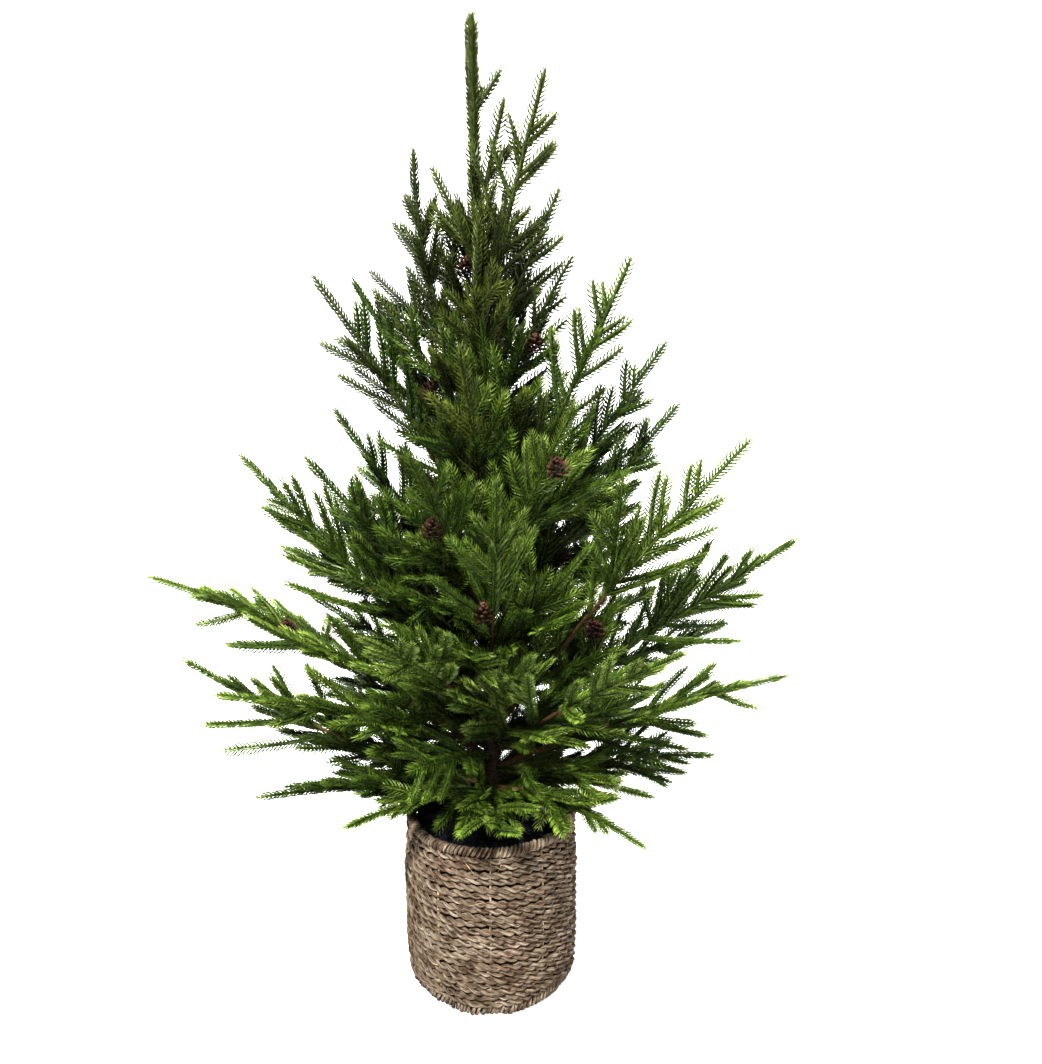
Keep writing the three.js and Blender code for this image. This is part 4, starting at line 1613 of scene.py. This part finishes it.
def makeCords(material):
    tree = makeCordTree(material)
    heights = np.linspace(cords["firstRow"], cords["lastRow"], cords["rows"])
    rows = [(wallReach(height) - cords["plyRadius"] - cords["inset"], height) for height in heights]
    radii = np.arange(floorCoil["first"], floorCoil["last"], floorCoil["pitch"])
    half = cords["rows"] // 2
    parts = {
        "cordsLower": (rows[:half], cordSizes),
        "cordsUpper": (rows[half:], cordSizes),
        "cordsFloor": ([(radius, floorCoil["height"]) for radius in radii], floorSizes),
    }
    return [settle(newRings(name, rings), tree, sizes, ("row",)) for name, (rings, sizes) in parts.items()]


def makeBands(material):
    tree, made = makeBandTree(material), []
    for name, band in bands.items():
        piece = newRings(name, [(band["radius"], band["height"])] * 2)
        made.append(settle(piece, tree, bandSizes(band), ("row",)))
    return made


def makeStakes(tree):
    paths = []
    for number in range(cords["stakes"]):
        angle = math.radians(cords["weaveTurn"]) + math.tau * number / cords["stakes"]
        path = []
        for height in np.linspace(stakes["from"], stakes["to"], stakes["points"]):
            radius = wallReach(height) - cords["plyRadius"] - stakes["inset"]
            path.append((radius * math.cos(angle), radius * math.sin(angle), height))
        paths.append(np.array(path))
    thick = [radiiAlong(stakes["points"], stakes["radius"], stakes["radius"])] * len(paths)
    return settle(newLines("stakes", paths, {"thick": thick}), tree, stakeSizes, limbScratch)


def makeStrayFibres(tree):
    # Loose ends that stand out of the wall, the foot and the rim, and droop a little.
    chance = random.Random(strayFibres["seed"])
    paths = []
    for _ in range(strayFibres["count"]):
        angle = chance.uniform(0, math.tau)
        height = chance.choice((chance.uniform(10, 165), chance.uniform(4, 14), chance.uniform(155, 168)))
        out, up = np.array([math.cos(angle), math.sin(angle), 0]), np.array([0, 0, 1])
        along = np.array([-math.sin(angle), math.cos(angle), 0])
        start = out * (wallReach(height) - 2.5) + up * height
        lean = along * chance.uniform(-1, 1) + out * chance.uniform(0.15, 0.75)
        lean = unit(lean + up * chance.uniform(-0.6, 0.5))
        reach = chance.uniform(0.3, 1) * strayFibres["longest"]
        sag = up * chance.uniform(-0.35, 0.15) - out * 0.25
        path = [start + lean * reach * share + sag * reach * share * share for share in (0, 0.35, 0.7, 1)]
        if min(point[2] for point in path) > 1:
            paths.append(np.array(path))
    thick = [radiiAlong(len(path), strayFibres["thick"], strayFibres["tip"]) for path in paths]
    return settle(newLines("strayFibres", paths, {"thick": thick}), tree, straySizes, limbScratch)


def makeShadeLining():
    # Painted shade: a dark sheet behind the cords, seen through the gaps between the rows.
    outer = [(wallReach(height) - lining["outside"], height) for height in lining["heights"]]
    innerFace = [(wallReach(height) - lining["inside"], height) for height in lining["heights"]]
    piece = turnedShell("lining", innerFace[::-1] + outer)
    piece.data.materials.append(makeGrained("paintedShadeLining", shadeLiningFinish))
    return piece


def makeBasket():
    seagrass = makeSeagrass()
    twine = makeLimbTree("twineStrands", makeGrained("paleStraw", strawFinish), stakeSizes)
    made = makeCords(seagrass) + makeBands(seagrass)
    made += [makeStakes(twine), makeStrayFibres(twine), makeShadeLining()]
    for piece in made:
        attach(piece, "root")
        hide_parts("basket")


makeBasket()

# The black felt over the filling.
felt = {"hump": 4.5, "crumbs": 620, "crumbSize": 2.6, "edge": 75.5, "low": 14, "rings": 24, "steps": 90}
feltSizes = {
    "Hump": felt["hump"] * mm,
    "Crumbs": float(felt["crumbs"]),
    "Top area": 0.0177,     # square metres, over which the crumbs are dealt
    "Crumb size": felt["crumbSize"] * mm,
    "Seed": 4,
}
feltFinish = {
    "roughness": 0.93, "gloss": 0.2, "streaks": 900.0, "patches": 120.0, "patchy": 0.0,
    "relief": (0.9, 0.001),
    "tones": [(0.4, (0.0022, 0.0030, 0.0055)), (0.58, (0.007, 0.009, 0.016)), (0.72, (0.038, 0.046, 0.068))],
}


def makeCrumbTree(material):
    # A rough bed with flattened crumbs scattered over its top.
    tree, ins = newTree("crumpledFill", feltSizes)
    place = ownPlace(tree)
    onTop = calc(tree, "GREATER_THAN", split(tree, place)[2], 0.15)
    rough = calc(tree, "MULTIPLY_ADD", noiseAt(tree, place, 190.0), 0.35, noiseAt(tree, place, 45.0))
    lift = product(tree, product(tree, rough, ins["Hump"]), onTop)
    bed = moved(tree, ins["Geometry"], combined(tree, 0.0, 0.0, lift))
    points = addNode(tree, "GeometryNodeDistributePointsOnFaces", {
        "Mesh": bed, "Selection": onTop, "Density": calc(tree, "DIVIDE", ins["Crumbs"], ins["Top area"]),
        "Seed": ins["Seed"],
    }).outputs[0]
    crumb = addNode(tree, "GeometryNodeMeshIcoSphere", {"Radius": 1.0, "Subdivisions": 1}).outputs[0]
    place = ownPlace(tree)
    dented = calc(tree, "MULTIPLY_ADD", noiseAt(tree, place, 1.4, 1.0), 0.9, 0.8)
    crumb = setPlace(tree, crumb, vectorCalc(tree, "SCALE", place, dented))
    limits = {0: (0, 0, 0), 1: (6, 6, 6), "Seed": 2}
    turn = addNode(tree, "FunctionNodeRandomValue", limits, data_type="FLOAT_VECTOR").outputs[0]
    size = product(tree, randomBetween(tree, 0.4, 1.25, 6), ins["Crumb size"])
    scale = combined(tree, size, product(tree, size, 1.5), product(tree, size, 0.7))
    endTree(tree, joined(tree, (bed, copies(tree, points, crumb, turn, scale))), [material])
    return tree


def makeFilling():
    edge, count, rings = felt["edge"], felt["steps"], felt["rings"]
    outline = [(edge * ring / rings, basket["fillTop"]) for ring in range(1, rings + 1)]
    outline += [(edge, 130), (edge - 3, 60), (edge - 9, felt["low"])]
    points = [(0, 0, basket["fillTop"] * mm)]
    for radius, height in outline:
        points += circle(radius, height, count)
    faces = [(0, 1 + step, 1 + (step + 1) % count) for step in range(count)]
    for ring in range(len(outline) - 1):
        for step in range(count):
            here, after = 1 + ring * count + step, 1 + ring * count + (step + 1) % count
            faces.append((here, here + count, after + count, after))
    faces.append(tuple(len(points) - 1 - step for step in range(count)))
    piece = newPiece("fillingBed", points, faces=faces)
    settle(piece, makeCrumbTree(makeGrained("blackFelt", feltFinish)), feltSizes)
    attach(piece, "root")
    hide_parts("filling")


makeFilling()

# Cones with open scales, on the boughs that carry the solids' lumps.
coneScales = {
    "seed": 31,
    "count": 46,
    "length": 7.6,
    "width": 5.0,
    "coreRadius": 2.6,
    "lowest": -9.0,
    "highest": 6.5,
    "openLean": -6,         # degrees above the level, lowest scales
    "shutLean": 74,         # topmost scales
    "tilt": 0.4,            # radians
}
coneSizes = {
    "Scales": coneScales["count"],
    "Length": coneScales["length"] * mm,
    "Width": coneScales["width"] * mm,
    "Core": coneScales["coreRadius"] * mm,
    "Lowest": coneScales["lowest"] * mm,
    "Highest": coneScales["highest"] * mm,
    "Open lean": math.radians(coneScales["openLean"]),
    "Shut lean": math.radians(coneScales["shutLean"]),
}
coneTones = [(0.18, (0.006, 0.003, 0.002)), (0.5, (0.030, 0.012, 0.007)), (0.8, (0.080, 0.037, 0.022))]

# Sections of one scale: how far out, half its width, half its thickness, how far it has risen.
scaleSections = [
    (0.0, 0.16, 0.08, 0.0),
    (0.45, 0.34, 0.09, 0.01),
    (0.8, 0.5, 0.11, 0.06),
    (1.0, 0.26, 0.07, 0.17),
]


def makeConeMaterial():
    material, tree, shader = newMaterial("dryCone", 0.62, 0.25)
    streak, _ = fibresIn(tree, objectPlace(tree), 800.0, 200.0)
    blend = calc(tree, "MULTIPLY_ADD", attributeOf(tree, "lip"), 0.6, product(tree, streak, 0.4))
    connect(tree, shader.inputs["Base Color"], ramp(tree, blend, coneTones))
    bumped(tree, shader, streak, 0.5, 0.0004)
    return material


def makeScaleMesh():
    # One open scale of 28 triangles, pointing along +X with its upper face towards +Z.
    points, faces, lip = [], [], []
    for x, wide, thick, rise in scaleSections:
        edge = rise + 0.04
        points += [(x, -wide, edge), (x, 0, rise - thick), (x, wide, edge), (x, 0, rise + thick)]
        lip += [x] * 4
    for ring in range(len(scaleSections) - 1):
        for side in range(4):
            here, after = ring * 4 + side, ring * 4 + (side + 1) % 4
            faces.append((here, after, after + 4, here + 4))
    faces += [(3, 2, 1, 0), (12, 13, 14, 15)]
    mesh = bpy.data.meshes.new("coneScale")
    mesh.from_pydata(points, [], faces)
    mesh.attributes.new("lip", "FLOAT", "POINT").data.foreach_set("value", lip)
    return bpy.data.objects.new("coneScale", mesh)


def makeConeTree(scaleHolder, material):
    # Scales in a spiral round a core, open below and shut at the tip, on each cone's point.
    tree, ins = newTree("openCone", coneSizes)
    line = addNode(tree, "GeometryNodeMeshLine", {"Count": ins["Scales"], "Offset": (0, 0, 0.001)}).outputs[0]
    index = addNode(tree, "GeometryNodeInputIndex").outputs[0]
    share = calc(tree, "DIVIDE", index, ins["Scales"])
    turn = product(tree, index, math.radians(finer["goldenTurn"]))
    height = mapped(tree, share, 0.0, 1.0, ins["Lowest"], ins["Highest"])
    radius = product(tree, ins["Core"], mapped(tree, share, 0.3, 1.0, 1.0, 0.25))
    x, y = (product(tree, calc(tree, name, turn), radius) for name in ("COSINE", "SINE"))
    line = setPlace(tree, line, combined(tree, x, y, height))
    lean = mapped(tree, calc(tree, "POWER", share, 1.5), 0.0, 1.0, ins["Open lean"], ins["Shut lean"])
    lean = calc(tree, "ADD", lean, randomBetween(tree, -0.12, 0.12, 8))
    rotation = combined(tree, 0.0, product(tree, lean, -1.0), turn)
    below, above = mapped(tree, share, 0.0, 0.25, 0.7, 1.0), mapped(tree, share, 0.45, 1.0, 1.0, 0.5)
    grown = product(tree, product(tree, below, above), randomBetween(tree, 0.9, 1.1, 4))
    length, width = product(tree, grown, ins["Length"]), product(tree, grown, ins["Width"])
    size = combined(tree, length, width, ins["Width"])
    scale = addNode(tree, "GeometryNodeObjectInfo", {"Object": scaleHolder}).outputs["Geometry"]
    whole = realized(tree, copies(tree, line, scale, rotation, size))
    cones = copies(tree, ins["Geometry"], whole, named(tree, "tilt", "FLOAT_VECTOR"), (1, 1, 1))
    endTree(tree, cones, [material], smooth=False)
    return tree


def makeCones():
    chance, tilt = random.Random(coneScales["seed"]), coneScales["tilt"]
    centres = [centre * mm for bough in boughs for centre in bough["hung"]]
    limits = ((-tilt, tilt), (-tilt, tilt), (0, 6.2))
    tilts = [[chance.uniform(*limit) for limit in limits] for _ in centres]
    piece = newPiece("cones", centres, attributes={"tilt": tilts})
    settle(piece, makeConeTree(makeScaleMesh(), makeConeMaterial()), coneSizes, ("tilt",))
    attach(piece, "root")


makeCones()

# Camera, floor and lamps.
studio = {
    "cameraPlace": (0.030, -0.720, 0.548),
    "cameraTilt": 7.7,
    "lens": 25.38,
    "roomLight": 0.035,
    "floorGlow": 0.5,
    "exposure": 0.72,
    "gamma": 0.77,
}

# The floor and the backdrop behind it, as (depth, height).
floorProfile = [(-4, 0), (1.2, 0), (1.7, 0.06), (2.1, 0.26), (2.35, 0.6), (2.45, 1.1), (2.5, 4)]

# A lamp with a spread is a sun, turned by degrees. The others are square, and aimed at a place.
lamps = {
    "keyLight": {"power": 132, "size": 0.3, "place": (-0.7, -1.7, 2.2), "aim": (0, 0, 0.45)},
    "fillLight": {"power": 32, "size": 1.4, "place": (1.7, -1.5, 1.5), "aim": (0, 0, 0.45)},
    "topLight": {"power": 6.6, "spread": 6, "turn": (8, 3, 0)},
    "backdropLight": {"power": 120, "size": 3.0, "place": (0, 0.9, 3.4), "aim": (0, 2.5, 0.9)},
}


def addToScene(name, data):
    holder = bpy.data.objects.new(name, data)
    bpy.context.scene.collection.objects.link(holder)
    return holder


def makeCamera():
    camera = bpy.data.cameras.new("frontCamera")
    camera.sensor_fit = "VERTICAL"
    camera.sensor_height = 36
    camera.lens = studio["lens"]
    camera.clip_start = 0.01
    holder = addToScene("frontCamera", camera)
    holder.location = studio["cameraPlace"]
    holder.rotation_euler = (math.radians(90 - studio["cameraTilt"]), 0, 0)
    bpy.context.scene.camera = holder


def makeFloor():
    # Pale paper that glows for the camera alone, so that it lights nothing.
    points = [(x, y, z) for y, z in floorProfile for x in (-6, 6)]
    faces = [(last, last + 1, last + 3, last + 2) for last in range(0, len(points) - 2, 2)]
    floor = newPiece("studioFloor", points, faces=faces)
    paper, tree, shader = newMaterial("palePaper", 0.9, 0.1, (0.42, 0.42, 0.42))
    shader.inputs["Emission Color"].default_value = (1, 1, 1, 1)
    seen = addNode(tree, "ShaderNodeLightPath").outputs["Is Camera Ray"]
    connect(tree, shader.inputs["Emission Strength"], product(tree, seen, studio["floorGlow"]))
    floor.data.materials.append(paper)
    smoothFaces(floor)


def makeRoom():
    world = bpy.data.worlds.new("softRoom")
    world.use_nodes = True
    tree = world.node_tree
    background = tree.nodes["Background"]
    background.inputs[0].default_value = (1, 1, 1, 1)
    seen = addNode(tree, "ShaderNodeLightPath").outputs["Is Camera Ray"]
    connect(tree, background.inputs[1], mapped(tree, seen, 0.0, 1.0, studio["roomLight"], 1.0))
    bpy.context.scene.world = world


def addLamp(name, lamp):
    light = bpy.data.lights.new(name, "SUN" if "spread" in lamp else "AREA")
    light.energy = lamp["power"]
    holder = addToScene(name, light)
    if "spread" in lamp:
        light.angle = math.radians(lamp["spread"])
        holder.rotation_euler = [math.radians(angle) for angle in lamp["turn"]]
    else:
        light.size = lamp["size"]
        holder.location = lamp["place"]
        sight = Vector(lamp["aim"]) - Vector(lamp["place"])
        holder.rotation_euler = sight.to_track_quat("-Z", "Y").to_euler()


def makeStudio():
    makeCamera()
    makeFloor()
    makeRoom()
    for name, lamp in lamps.items():
        addLamp(name, lamp)
    view = bpy.context.scene.view_settings
    view.view_transform = "Standard"
    view.exposure, view.gamma = studio["exposure"], studio["gamma"]


makeStudio()
print("studio: camera, floor and", len(lamps), "lamps")
